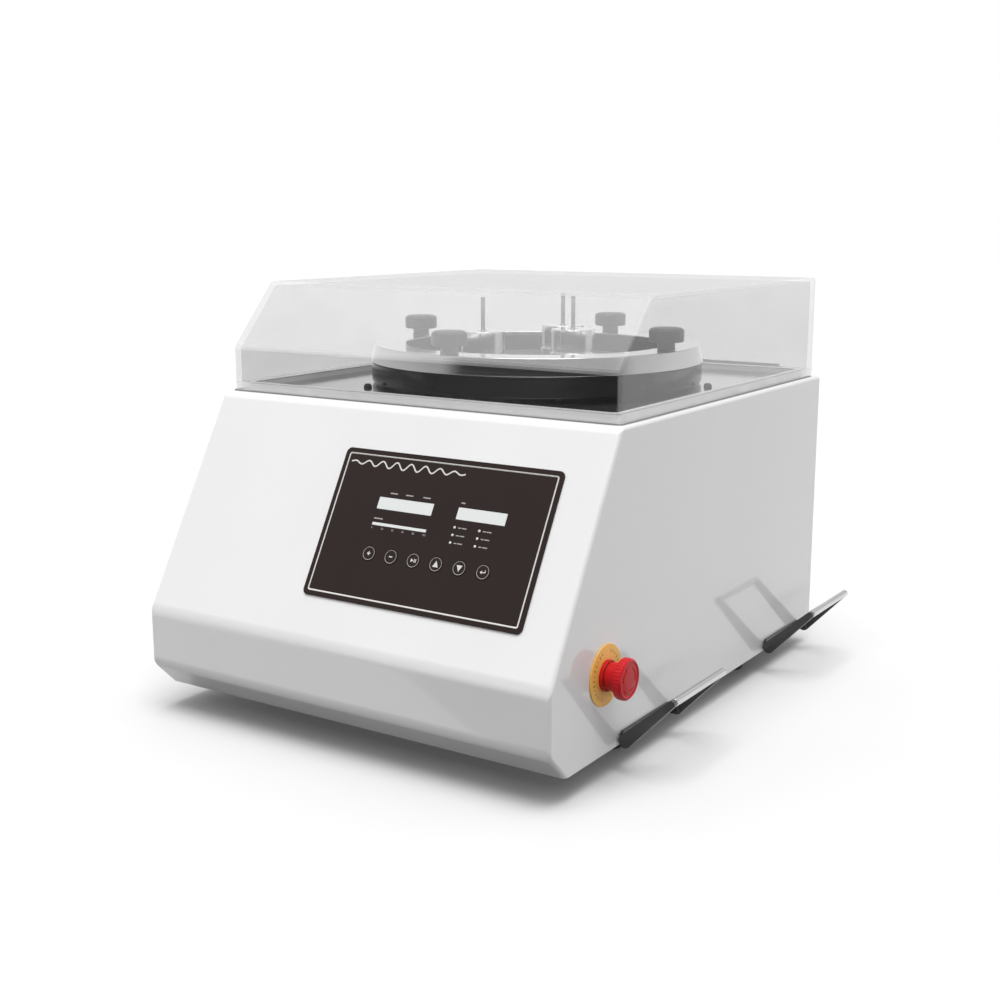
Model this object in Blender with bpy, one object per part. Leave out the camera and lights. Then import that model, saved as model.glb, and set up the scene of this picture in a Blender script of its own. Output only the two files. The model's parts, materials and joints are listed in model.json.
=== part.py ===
"""Vibratory polisher for metallographic specimens.

A sheet-steel cabinet with a sloped front carries a bowl that is shaken by an electromagnet on leaf springs.
A clear hinged cover closes over the bowl. Metres, +Z up, front towards -Y, origin on the floor at the centre
of the footprint.
"""

import math

import bmesh
import bpy

MM = 0.001
GAP = 0.3 * MM  # clearance between pieces that touch

# Cabinet
CABINET_W = 500 * MM
CABINET_D = 626.7 * MM
CABINET_H = 309.4 * MM
CHAMFER_Y = 27.7 * MM
CHAMFER_Z = 27.9 * MM
FOLD_Z = 88.2 * MM  # top of the upright front strip
SLOPE_Y = 125.0 * MM  # depth at which the slope meets the top
SHEET = 2.0 * MM
CABINET_ROUND = 5.0 * MM
FOOT_H = 25.0 * MM
FOOT_R = 20.0 * MM
FOOT_X = 207.0 * MM
FOOT_Y = (180.0 * MM, 475.0 * MM)

# Cover and its hinge
COVER_W = 485.0 * MM
COVER_FRONT_Y = 134.0 * MM
COVER_BACK_Y = 621.0 * MM
COVER_STRAIGHT_Z = 357.9 * MM
COVER_TOP_Y = 196.4 * MM
COVER_TOP_Z = 427.0 * MM
COVER_WALL = 5.0 * MM
COVER_ROUND = (3.0 * MM, 1.5 * MM)  # outside and inside
HINGE_OUT = 6.0 * MM  # hinge axis behind the cabinet
HINGE_UP = 3.0 * MM  # hinge axis above the cabinet top
KNUCKLE_R = 4.5 * MM
HINGE_PIN_R = 2.0 * MM
HINGE_W = 400.0 * MM
KNUCKLES = 5
HINGE_PLATE = 2.0 * MM
LEAF_UP = 9.0 * MM  # top of the leaf above the hinge axis
BASE_DOWN = 30.0 * MM  # foot of the base plate below the axis

# Bowl and what stands in it
BOWL_Y = 378.0 * MM
BOWL_R = 183.0 * MM
BOWL_BODY_R = 190.0 * MM  # below the clamp ring
BOWL_STEP_Z = 336.6 * MM
BOWL_INNER_R = 152.0 * MM
BOWL_SKIRT_R = 174.0 * MM
BOWL_LOW_Z = 314.0 * MM
BOWL_UNDER_Z = 321.0 * MM
BOWL_FLOOR_Z = 332.7 * MM
BOWL_RIM_Z = 351.2 * MM
HUB_R = 22.0 * MM
CLOTH_T = 1.0 * MM
RING_INNER_R = 150.0 * MM
RING_LOW_R = 191.0 * MM
RING_TOP_R = 186.5 * MM
RING_LOW_Z = 337.2 * MM
RING_TOP_Z = 356.4 * MM
KNOB_CIRCLE_R = 168.5 * MM
KNOB_START = -91.4  # degrees, the front knob's place on the ring
STUD_R = 4.0 * MM
STUD_L = 18.0 * MM
STUD_HOLE_R = 4.5 * MM
KNOB_NECK_R = 10.0 * MM
KNOB_NECK_H = 8.4 * MM
KNOB_R = 19.2 * MM
KNOB_H = 24.5 * MM
HOLE_TURN = 8.0  # degrees that keep a hole's corners off the radial edges of the ring
SPECIMENS = ((63.3 * MM, -158.0), (108.4 * MM, 104.5), (60.6 * MM, 76.5))  # orbit radius, degrees
WEIGHT_BASE_R = 27.5 * MM
WEIGHT_BASE_H = 7.0 * MM
WEIGHT_R = 25.8 * MM
WEIGHT_H = 34.0 * MM
ROD_R = 2.5 * MM
ROD_TOP = 73.0 * MM

# Deck
DECK_W = 471.0 * MM
DECK_FRONT_Y = 143.0 * MM
DECK_BACK_Y = 611.0 * MM
DECK_RIM_H = 9.0 * MM
DECK_RIM_T = 6.0 * MM
DECK_ROUND = 10.0 * MM
DECK_HOLE_R = 31.0 * MM
TOP_OPENING = 400.0 * MM

# Drive
DRIVE_PLATE_Z = 222.3 * MM
DRIVE_PLATE_T = 18.0 * MM
DRIVE_PLATE_R = 135.0 * MM
ARMATURE_T = 20.0 * MM
AIR_GAP = 2.0 * MM
COUNTER_BASE_Z = 32.3 * MM
COUNTER_BASE_H = 68.0 * MM
COUNTER_BASE_R = 140.0 * MM
ISOLATOR_R = (90.0 * MM, 115.0 * MM)
SPRING_CIRCLE_R = 115.0 * MM
SPRING_W = 40.0 * MM
SPRING_T = 3.0 * MM
SPRING_LEAN = 18.0  # degrees from upright
SPRINGS = 3
CORE_HALF = (40.0 * MM, 25.0 * MM)
CORE_SLOT_X = 20.0 * MM
CORE_SLOT_W = 14.0 * MM
COIL_H = 50.0 * MM
SUPPLY_LOW = (-230.0 * MM, 480.0 * MM)
SUPPLY_HIGH = (-130.0 * MM, 600.0 * MM)
SUPPLY_TOP = 58.0 * MM

# Control panel, in the plane of the slope: x across, y up the slope, z outwards
PANEL_CENTRE = (75.8 * MM, 126.0 * MM)
PANEL_W = 259.0 * MM
PANEL_H = 158.0 * MM
PANEL_T = 1.2 * MM
PANEL_ROUND = 6.0 * MM
CUTOUT_W = 200.0 * MM
CUTOUT_H = 110.0 * MM
TIME_WINDOW = (38.0 * MM, 151.0 * MM, 67.0 * MM, 13.0 * MM)  # centre x, centre y, width, height
LEVEL_WINDOW = (128.3 * MM, 151.3 * MM, 56.5 * MM, 12.8 * MM)
BAR_WINDOW = (38.0 * MM, 129.2 * MM, 66.5 * MM, 3.6 * MM)
KEY_ROW_Y = 97.0 * MM
KEY_ROW_X = 80.0 * MM
KEY_PITCH = 27.0 * MM
KEY_R = 8.0 * MM
KEY_STEM_R = 2.0 * MM
KEYS = ("key_plus", "key_minus", "key_start", "key_up", "key_down", "key_enter")
BOARD_DEPTH = 10.0 * MM
BOARD_T = 1.6 * MM

# Emergency stop on the right side, z outwards
ESTOP_Y = 98.7 * MM
ESTOP_Z = 79.0 * MM
LEGEND_R = 30.0 * MM
ESTOP_HEAD_R = 20.0 * MM
ESTOP_NECK_R = 13.75 * MM
ESTOP_STEM_R = 5.0 * MM
ESTOP_OUT = 27.0 * MM
ESTOP_NECK_OUT = 17.0 * MM
ESTOP_STEM_IN = 38.0 * MM
CONTACT_HALF = (20.0 * MM, 15.0 * MM)
CONTACT_IN = 45.0 * MM

# Lifting handles
HANDLE_Y = (181.0 * MM, 533.0 * MM)
HANDLE_TILT = 44.0  # degrees above level
HANDLE_OUT = 9.0 * MM  # pivot from the side of the cabinet
HANDLE_UP = 7.0 * MM  # pivot above the cabinet's lower edge
HANDLE_L = 67.0 * MM
HANDLE_IN = 52.0 * MM  # inner faces of the legs from the middle
LEG_T = 6.0 * MM
LEG_ROOT_R = 7.0 * MM
LEG_TIP_R = 4.2 * MM
EAR_R = 5.0 * MM
EAR_T = 4.0 * MM
STRIP_T = 2.5 * MM
STRIP_HALF_H = 6.5 * MM
GRIP_R = 4.0 * MM
GRIP_CORE_R = 2.6 * MM
PIVOT_PIN_R = 3.0 * MM
PIVOT_EYE_R = 3.4 * MM

# Back
REAR_PANEL_W = 470.0 * MM
REAR_PANEL_Z = (12.0 * MM, 270.0 * MM)
REAR_OPENING_W = 440.0 * MM
REAR_OPENING_Z = (25.0 * MM, 255.0 * MM)
INLET_X = -150.0 * MM
INLET_Z = 70.0 * MM
INLET_W = 32.0 * MM
INLET_H = 60.0 * MM
INLET_FLANGE = 3.0 * MM
INLET_DEPTH = 28.0 * MM
INLET_PINS = ((-7.0 * MM, -17.0 * MM), (0.0, -14.0 * MM), (7.0 * MM, -17.0 * MM))
VENTS = 8
VENT_X = (40.0 * MM, 180.0 * MM)
VENT_Z = 90.0 * MM
VENT_H = 5.0 * MM
VENT_PITCH = 16.0 * MM
ROCKER_TILT = 10.0  # degrees either way

# Frame: the cabinet's front lower edge in world space
BACK_REACH = CABINET_D + HINGE_OUT + KNUCKLE_R
FRONT_Y = -BACK_REACH / 2
ROUND_STEPS = 48
SMALL_STEPS = 24


# ---------------------------------------------------------------- scene and materials

def clear_scene():
    for obj in list(bpy.data.objects):
        bpy.data.objects.remove(obj, do_unlink=True)


def material(name, colour, roughness, metallic=0.0, alpha=1.0):
    made = bpy.data.materials.new(name)
    made.use_nodes = True
    shader = made.node_tree.nodes["Principled BSDF"]
    shader.inputs["Base Color"].default_value = (*colour, 1.0)
    shader.inputs["Roughness"].default_value = roughness
    shader.inputs["Metallic"].default_value = metallic
    shader.inputs["Alpha"].default_value = alpha
    return made


def make_materials():
    return {
        "white_paint": material("white_paint", (0.80, 0.80, 0.80), 0.4),
        "clear_plastic": material("clear_plastic", (0.9, 0.9, 0.9), 0.08, alpha=0.3),
        "deck_steel": material("deck_steel", (0.55, 0.56, 0.57), 0.35, 1.0),
        "brushed_steel": material("brushed_steel", (0.62, 0.62, 0.63), 0.28, 1.0),
        "polished_steel": material("polished_steel", (0.75, 0.76, 0.77), 0.1, 1.0),
        "bowl_black": material("bowl_black", (0.015, 0.015, 0.016), 0.15),
        "black_coat": material("black_coat", (0.02, 0.02, 0.022), 0.35),
        "black_plastic": material("black_plastic", (0.03, 0.03, 0.033), 0.45),
        "rubber": material("rubber", (0.02, 0.02, 0.02), 0.8),
        "cloth": material("cloth", (0.03, 0.03, 0.035), 0.9),
        "panel_film": material("panel_film", (0.035, 0.025, 0.022), 0.4),
        "display": material("display", (0.9, 0.9, 0.9), 0.3),
        "stop_red": material("stop_red", (0.55, 0.02, 0.03), 0.3),
        "stop_yellow": material("stop_yellow", (0.85, 0.45, 0.12), 0.5),
        "cast_iron": material("cast_iron", (0.12, 0.13, 0.14), 0.6, 0.6),
        "spring_steel": material("spring_steel", (0.35, 0.37, 0.40), 0.35, 1.0),
        "copper": material("copper", (0.60, 0.28, 0.14), 0.4, 1.0),
        "circuit_board": material("circuit_board", (0.03, 0.17, 0.07), 0.5),
    }


# ---------------------------------------------------------------- shapes

def place(name, bm, finish, location=(0, 0, 0), rotation=(0, 0, 0), parent=None, smooth=True):
    """Turns a bmesh into a named object with outward faces."""
    bmesh.ops.recalc_face_normals(bm, faces=bm.faces)
    mesh = bpy.data.meshes.new(name)
    bm.to_mesh(mesh)
    bm.free()
    if smooth:
        mesh.shade_smooth()
        mesh.set_sharp_from_angle(angle=math.radians(35))
    obj = bpy.data.objects.new(name, mesh)
    bpy.context.collection.objects.link(obj)
    obj.location = location
    obj.rotation_euler = rotation
    obj.parent = parent
    if finish is not None:
        mesh.materials.append(finish)
    return obj


def empty(name, location, rotation=(0, 0, 0), parent=None):
    obj = bpy.data.objects.new(name, None)
    bpy.context.collection.objects.link(obj)
    obj.location = location
    obj.rotation_euler = rotation
    obj.parent = parent
    return obj


def on_axis(axis, a, b, height):
    """A point from two outline coordinates and a height along the prism's axis."""
    return {"X": (height, a, b), "Y": (a, height, b), "Z": (a, b, height)}[axis]


def prism(outline, low, high, axis="Z", bm=None):
    """Adds a straight prism over an outline to bm and returns bm."""
    bm = bm or bmesh.new()
    lower = [bm.verts.new(on_axis(axis, a, b, low)) for a, b in outline]
    upper = [bm.verts.new(on_axis(axis, a, b, high)) for a, b in outline]
    bm.faces.new(lower[::-1])
    bm.faces.new(upper)
    for i in range(len(outline)):
        j = (i + 1) % len(outline)
        bm.faces.new((lower[i], lower[j], upper[j], upper[i]))
    return bm


def block(low, high, bm=None):
    """Adds an upright box between two corners."""
    outline = ((low[0], low[1]), (high[0], low[1]), (high[0], high[1]), (low[0], high[1]))
    return prism(outline, low[2], high[2], "Z", bm)


def turned(profile, steps):
    """Turns (radius, height) points about local Z. The solid is a ring unless they start on the axis."""
    bm = bmesh.new()
    rings = []
    for radius, height in profile:
        if radius == 0:
            rings.append([bm.verts.new((0, 0, height))])
            continue
        turn = [2 * math.pi * k / steps for k in range(steps)]
        rings.append([bm.verts.new((radius * math.cos(t), radius * math.sin(t), height)) for t in turn])
    pairs = list(zip(rings, rings[1:]))
    if profile[0][0] > 0:
        pairs.append((rings[-1], rings[0]))
    for first, second in pairs:
        for k in range(steps):
            n = (k + 1) % steps
            corners = [first[k % len(first)], first[n % len(first)]]
            corners += [second[n % len(second)], second[k % len(second)]]
            bm.faces.new(list(dict.fromkeys(corners)))
    return bm


def cylinder(radius, low, high, steps=SMALL_STEPS):
    return turned(((0, low), (radius, low), (radius, high), (0, high)), steps)


def arc(centre, radius, start, end, steps):
    """Points on an arc, angles in degrees."""
    turn = [math.radians(start + (end - start) * k / steps) for k in range(steps + 1)]
    return [(centre[0] + radius * math.cos(t), centre[1] + radius * math.sin(t)) for t in turn]


def rounded_rectangle(centre, width, height, radius, steps=4):
    points = []
    for k, (sx, sy) in enumerate(((1, 1), (-1, 1), (-1, -1), (1, -1))):
        corner = (centre[0] + sx * (width / 2 - radius), centre[1] + sy * (height / 2 - radius))
        points += arc(corner, radius, 90 * k, 90 * k + 90, steps)
    return points


def inset(outline, distance):
    """Moves a clockwise outline inwards by a distance."""
    lines = []
    for (ax, ay), (bx, by) in zip(outline, outline[1:] + outline[:1]):
        length = math.hypot(bx - ax, by - ay)
        nx, ny = (by - ay) / length, (ax - bx) / length
        lines.append((nx, ny, nx * ax + ny * ay + distance))
    points = []
    for (px, py, pd), (qx, qy, qd) in zip(lines[-1:] + lines[:-1], lines):
        det = px * qy - py * qx
        points.append(((pd * qy - py * qd) / det, (px * qd - pd * qx) / det))
    return points


def round_edges(bm, radius, steps, chosen):
    edges = [edge for edge in bm.edges if chosen(*(v.co for v in edge.verts))]
    bmesh.ops.bevel(bm, geom=edges, offset=radius, segments=steps, profile=0.5, affect="EDGES")


def combine(target, operation, helper):
    """Adds a Boolean to target and hides the helper shape."""
    modifier = target.modifiers.new(operation.lower(), "BOOLEAN")
    modifier.operation = operation
    modifier.solver = "EXACT"
    modifier.object = helper
    helper.hide_render = True
    helper.display_type = "WIRE"


def cut(target, bm, location=(0, 0, 0), rotation=(0, 0, 0), parent=None):
    combine(target, "DIFFERENCE", place(target.name + "_cut", bm, None, location, rotation, parent))


def join(target, bm, location=(0, 0, 0), rotation=(0, 0, 0), parent=None):
    combine(target, "UNION", place(target.name + "_add", bm, None, location, rotation, parent))


# ---------------------------------------------------------------- cabinet

def cabinet_side():
    """The cabinet's side outline as (depth, height), clockwise from the front lower edge."""
    return [
        (CHAMFER_Y, 0),
        (0, CHAMFER_Z),
        (0, FOLD_Z),
        (SLOPE_Y, CABINET_H),
        (CABINET_D, CABINET_H),
        (CABINET_D, 0),
    ]


def cabinet_block(outline, width, radius, floor, back):
    """A block over a side outline, its edges rounded except at its floor and, if given, its back."""
    bm = prism(outline, -width / 2, width / 2, "X")

    def rounded(a, b):
        at_floor = a.z < floor + MM and b.z < floor + MM
        at_back = back is not None and a.y > back - MM and b.y > back - MM
        return not at_floor and not at_back

    round_edges(bm, radius, 3, rounded)
    return bm


def make_cabinet(finish, frame, panel):
    outer = cabinet_side()
    shell = place(
        "cabinet_shell",
        cabinet_block(outer, CABINET_W, CABINET_ROUND, 0, CABINET_D),
        finish["white_paint"],
        parent=frame,
    )
    inner = inset(outer, SHEET)
    drop = 5 * MM
    inner[0] = (inner[0][0] + SHEET + drop, -drop)  # the chamfer's own line, carried on past the floor
    inner[-1] = (inner[-1][0], -drop)
    hollow = cabinet_block(inner, CABINET_W - 2 * SHEET, CABINET_ROUND - SHEET, -drop, CABINET_D - SHEET)
    cut(shell, hollow, parent=frame)
    half = TOP_OPENING / 2
    top = block((-half, BOWL_Y - half, CABINET_H - 4 * SHEET), (half, BOWL_Y + half, CABINET_H + SHEET))
    cut(shell, top, parent=frame)
    low, high = REAR_OPENING_Z
    back = block(
        (-REAR_OPENING_W / 2, CABINET_D - 4 * SHEET, low),
        (REAR_OPENING_W / 2, CABINET_D + SHEET, high),
    )
    cut(shell, back, parent=frame)
    window = prism(rounded_rectangle(PANEL_CENTRE, CUTOUT_W, CUTOUT_H, PANEL_ROUND), -4 * SHEET, SHEET)
    cut(shell, window, parent=panel)
    stop_hole = cylinder(ESTOP_STEM_R + 3 * MM, -4 * SHEET, SHEET)
    spot = (CABINET_W / 2, ESTOP_Y, ESTOP_Z)
    cut(shell, stop_hole, spot, (0, math.radians(90), 0), frame)

    side = CABINET_W / 2 - SHEET - GAP
    front = CHAMFER_Y + 2 * SHEET
    corner = side - CABINET_ROUND
    outline = (
        (corner, front),
        (side, front + CABINET_ROUND),
        (side, CABINET_D - SHEET - GAP),
        (-side, CABINET_D - SHEET - GAP),
        (-side, front + CABINET_ROUND),
        (-corner, front),
    )
    place("base_plate", prism(outline, 0, SHEET), finish["white_paint"], parent=frame, smooth=False)
    foot_l = FOOT_H - GAP
    profile = (
        (0, -foot_l),
        (FOOT_R * 0.88, -foot_l),
        (FOOT_R, -foot_l + 3 * MM),
        (FOOT_R * 0.9, -2 * MM),
        (FOOT_R * 0.8, 0),
        (0, 0),
    )
    for k, (sx, y) in enumerate(((-1, 0), (1, 0), (-1, 1), (1, 1))):
        spot = (sx * FOOT_X, FOOT_Y[y], -GAP)
        place(f"foot_{k + 1}", turned(profile, SMALL_STEPS), finish["rubber"], spot, parent=frame)


def make_deck(finish, frame):
    middle = (0, (DECK_FRONT_Y + DECK_BACK_Y) / 2)
    depth = DECK_BACK_Y - DECK_FRONT_Y
    floor = CABINET_H + GAP
    outline = rounded_rectangle(middle, DECK_W, depth, DECK_ROUND)
    tray = place("deck_tray", prism(outline, floor, floor + DECK_RIM_H), finish["deck_steel"], parent=frame)
    inside = rounded_rectangle(
        middle, DECK_W - 2 * DECK_RIM_T, depth - 2 * DECK_RIM_T, DECK_ROUND - DECK_RIM_T
    )
    cut(tray, prism(inside, floor + SHEET, floor + 2 * DECK_RIM_H), parent=frame)
    hole = cylinder(DECK_HOLE_R, floor - SHEET, floor + 2 * SHEET, 36)
    cut(tray, hole, (0, BOWL_Y, 0), parent=frame)


# ---------------------------------------------------------------- cover

def make_cover(finish, frame):
    """The cover and its hinge leaf turn about an empty on the hinge axis."""
    axis_y = CABINET_D + HINGE_OUT
    axis_z = CABINET_H + HINGE_UP
    pivot = empty("cover_pivot", (0, axis_y, axis_z), parent=frame)
    foot = CABINET_H + GAP
    outer = [
        (COVER_FRONT_Y - axis_y, foot - axis_z),
        (COVER_FRONT_Y - axis_y, COVER_STRAIGHT_Z - axis_z),
        (COVER_TOP_Y - axis_y, COVER_TOP_Z - axis_z),
        (COVER_BACK_Y - axis_y, COVER_TOP_Z - axis_z),
        (COVER_BACK_Y - axis_y, foot - axis_z),
    ]
    outer_round, inner_round = COVER_ROUND
    shape = cabinet_block(outer, COVER_W, outer_round, foot - axis_z, None)
    cover = place("cover", shape, finish["clear_plastic"], parent=pivot)
    inner = inset(outer, COVER_WALL)
    drop = 10 * MM
    inner[0] = (inner[0][0], inner[0][1] - COVER_WALL - drop)
    inner[-1] = (inner[-1][0], inner[-1][1] - COVER_WALL - drop)
    hollow = cabinet_block(inner, COVER_W - 2 * COVER_WALL, inner_round, inner[0][1], None)
    cut(cover, hollow, parent=pivot)

    pitch = HINGE_W / KNUCKLES
    sideways = (0, math.radians(90), 0)
    back_face = COVER_BACK_Y + GAP - axis_y
    leaf_low = 1 * MM - HINGE_UP
    plate = block((-HINGE_W / 2, back_face, leaf_low), (HINGE_W / 2, back_face + HINGE_PLATE, LEAF_UP))
    leaf = place("hinge_leaf", plate, finish["brushed_steel"], parent=pivot)
    base_face = CABINET_D + GAP - axis_y
    plate = block((-HINGE_W / 2, base_face, -BASE_DOWN), (HINGE_W / 2, base_face + HINGE_PLATE, -KNUCKLE_R))
    base = place("hinge_base", plate, finish["brushed_steel"], (0, axis_y, axis_z), parent=frame)
    for k in range(KNUCKLES):
        low = -HINGE_W / 2 + k * pitch + GAP
        high = low + pitch - 2 * GAP
        target, holder = (base, frame) if k % 2 == 0 else (leaf, pivot)
        spot = base.location if k % 2 == 0 else (0, 0, 0)
        join(target, cylinder(KNUCKLE_R, low, high, 16), spot, sideways, holder)
        if k % 2 == 0:
            web = block((low, base_face, -KNUCKLE_R - MM), (high, base_face + HINGE_PLATE, 0))
        else:
            web = block((low, back_face + MM, leaf_low), (high, 0, leaf_low + HINGE_PLATE))
        join(target, web, spot, parent=holder)
    pin = cylinder(HINGE_PIN_R, -HINGE_W / 2 + MM, HINGE_W / 2 - MM, 16)
    join(base, pin, base.location, sideways, frame)
    bore = cylinder(HINGE_PIN_R + 0.4 * MM, -HINGE_W / 2, HINGE_W / 2, 16)
    cut(leaf, bore, (0, 0, 0), sideways, pivot)


# ---------------------------------------------------------------- bowl and drive

def make_bowl(finish, frame):
    centre = empty("bowl_axis", (0, BOWL_Y, 0), parent=frame)
    hub_low = DRIVE_PLATE_Z + DRIVE_PLATE_T + GAP
    profile = (
        (0, hub_low),
        (HUB_R, hub_low),
        (HUB_R, BOWL_UNDER_Z),
        (BOWL_SKIRT_R, BOWL_UNDER_Z),
        (BOWL_SKIRT_R, BOWL_LOW_Z),
        (BOWL_BODY_R, BOWL_LOW_Z),
        (BOWL_BODY_R, BOWL_STEP_Z),
        (BOWL_R, BOWL_STEP_Z),
        (BOWL_R, BOWL_RIM_Z),
        (BOWL_INNER_R, BOWL_RIM_Z),
        (BOWL_INNER_R, BOWL_FLOOR_Z),
        (0, BOWL_FLOOR_Z),
    )
    bowl = place("bowl", turned(profile, ROUND_STEPS), finish["bowl_black"], parent=centre)
    cloth_low = BOWL_FLOOR_Z + GAP
    profile = (
        (0, cloth_low),
        (BOWL_INNER_R - MM, cloth_low),
        (BOWL_INNER_R - MM, cloth_low + CLOTH_T),
        (0, cloth_low + CLOTH_T),
    )
    place("polishing_cloth", turned(profile, ROUND_STEPS), finish["cloth"], parent=centre)
    under = BOWL_RIM_Z + GAP
    profile = (
        (RING_INNER_R, under),
        (RING_INNER_R, RING_TOP_Z),
        (RING_TOP_R, RING_TOP_Z),
        (RING_LOW_R, RING_LOW_Z),
        (BOWL_R + 2 * GAP, RING_LOW_Z),
        (BOWL_R + 2 * GAP, under),
    )
    ring = place("clamp_ring", turned(profile, ROUND_STEPS), finish["brushed_steel"], parent=centre)
    knob = (
        (0, -STUD_L),
        (STUD_R, -STUD_L),
        (STUD_R, 0),
        (KNOB_NECK_R, 0),
        (KNOB_NECK_R, KNOB_NECK_H),
        (KNOB_R - MM, KNOB_NECK_H),
        (KNOB_R, KNOB_NECK_H + MM),
        (KNOB_R, KNOB_H - 2.5 * MM),
        (KNOB_R - 1.5 * MM, KNOB_H - 0.8 * MM),
        (0, KNOB_H),
    )
    for k in range(4):
        turn = math.radians(90 * k + KNOB_START)
        spot = (KNOB_CIRCLE_R * math.cos(turn), KNOB_CIRCLE_R * math.sin(turn), RING_TOP_Z + GAP)
        place(f"clamp_knob_{k + 1}", turned(knob, SMALL_STEPS), finish["black_plastic"], spot, parent=centre)
        aside = (0, 0, turn + math.radians(HOLE_TURN))
        cut(ring, cylinder(STUD_HOLE_R, -12 * MM, 2 * MM, 16), spot, aside, centre)
        cut(bowl, cylinder(STUD_HOLE_R, -STUD_L - MM, 2 * MM, 16), spot, aside, centre)


def make_specimens(finish, frame):
    """Each weight circles the bowl about its own empty on the bowl's axis."""
    profile = (
        (0, 0),
        (WEIGHT_BASE_R, 0),
        (WEIGHT_BASE_R, WEIGHT_BASE_H),
        (WEIGHT_R, WEIGHT_BASE_H + 2 * MM),
        (WEIGHT_R, WEIGHT_H - MM),
        (WEIGHT_R - MM, WEIGHT_H),
        (ROD_R, WEIGHT_H),
        (ROD_R, ROD_TOP - MM),
        (0, ROD_TOP),
    )
    stand = BOWL_FLOOR_Z + 2 * GAP + CLOTH_T
    for k, (radius, degrees) in enumerate(SPECIMENS):
        turn = math.radians(degrees)
        orbit = empty(f"orbit_{k + 1}", (0, BOWL_Y, stand), (0, 0, turn), frame)
        spot = (radius, 0, 0)
        weight = turned(profile, SMALL_STEPS + 4)
        place(f"specimen_weight_{k + 1}", weight, finish["polished_steel"], spot, parent=orbit)


def make_drive(finish, frame):
    centre = empty("drive_axis", (0, BOWL_Y, 0), parent=frame)
    top = COUNTER_BASE_Z + COUNTER_BASE_H
    inner, outer = ISOLATOR_R
    low = SHEET + GAP
    ring = ((inner, low), (outer, low), (outer, COUNTER_BASE_Z - GAP), (inner, COUNTER_BASE_Z - GAP))
    place("isolator_ring", turned(ring, 32), finish["rubber"], parent=centre)
    profile = (
        (0, COUNTER_BASE_Z),
        (COUNTER_BASE_R - 4 * MM, COUNTER_BASE_Z),
        (COUNTER_BASE_R, COUNTER_BASE_Z + 4 * MM),
        (COUNTER_BASE_R, top - 4 * MM),
        (COUNTER_BASE_R - 4 * MM, top),
        (0, top),
    )
    place("counter_base", turned(profile, 40), finish["cast_iron"], parent=centre)
    armature_low = DRIVE_PLATE_Z - GAP - ARMATURE_T
    magnet_top = armature_low - AIR_GAP
    core_x, core_y = CORE_HALF
    core = block((-core_x, -core_y, top + GAP), (core_x, core_y, magnet_top))
    magnet = place("electromagnet_core", core, finish["cast_iron"], parent=centre, smooth=False)
    for side in (-1, 1):
        x = side * CORE_SLOT_X
        slot = block(
            (x - CORE_SLOT_W / 2, -core_y - MM, magnet_top - COIL_H - 5 * MM),
            (x + CORE_SLOT_W / 2, core_y + MM, magnet_top + MM),
        )
        cut(magnet, slot, parent=centre)
    limb = CORE_SLOT_X - CORE_SLOT_W / 2 + GAP
    coil_w = 2 * CORE_SLOT_X + CORE_SLOT_W - 2 * GAP
    coil_d = 2 * core_y + 2 * CORE_SLOT_W - 4 * MM
    outline = rounded_rectangle((0, 0), coil_w, coil_d, 6 * MM)
    low = magnet_top - COIL_H - 5 * MM + GAP
    winding = prism(outline, low, magnet_top - 5 * MM)
    coil = place("electromagnet_coil", winding, finish["copper"], parent=centre)
    cut(coil, block((-limb, -core_y - GAP, low - MM), (limb, core_y + GAP, magnet_top)), parent=centre)
    half_x, half_y = core_x + 5 * MM, core_y + 3 * MM
    plate = block((-half_x, -half_y, armature_low), (half_x, half_y, armature_low + ARMATURE_T))
    place("armature", plate, finish["cast_iron"], parent=centre, smooth=False)
    profile = (
        (0, DRIVE_PLATE_Z),
        (DRIVE_PLATE_R, DRIVE_PLATE_Z),
        (DRIVE_PLATE_R, DRIVE_PLATE_Z + DRIVE_PLATE_T),
        (0, DRIVE_PLATE_Z + DRIVE_PLATE_T),
    )
    place("drive_plate", turned(profile, 40), finish["cast_iron"], parent=centre)
    rise = DRIVE_PLATE_Z - top - 2 * GAP
    lean = rise * math.tan(math.radians(SPRING_LEAN))
    for k in range(SPRINGS):
        hub = empty(f"spring_{k + 1}_place", (0, 0, top + GAP), (0, 0, 2 * math.pi * k / SPRINGS), centre)
        side = (
            (-lean / 2 - SPRING_T / 2, 0),
            (-lean / 2 + SPRING_T / 2, 0),
            (lean / 2 + SPRING_T / 2, rise),
            (lean / 2 - SPRING_T / 2, rise),
        )
        leaf = prism(side, SPRING_CIRCLE_R - SPRING_W / 2, SPRING_CIRCLE_R + SPRING_W / 2, "X")
        place(f"leaf_spring_{k + 1}", leaf, finish["spring_steel"], parent=hub, smooth=False)


# ---------------------------------------------------------------- controls

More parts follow.
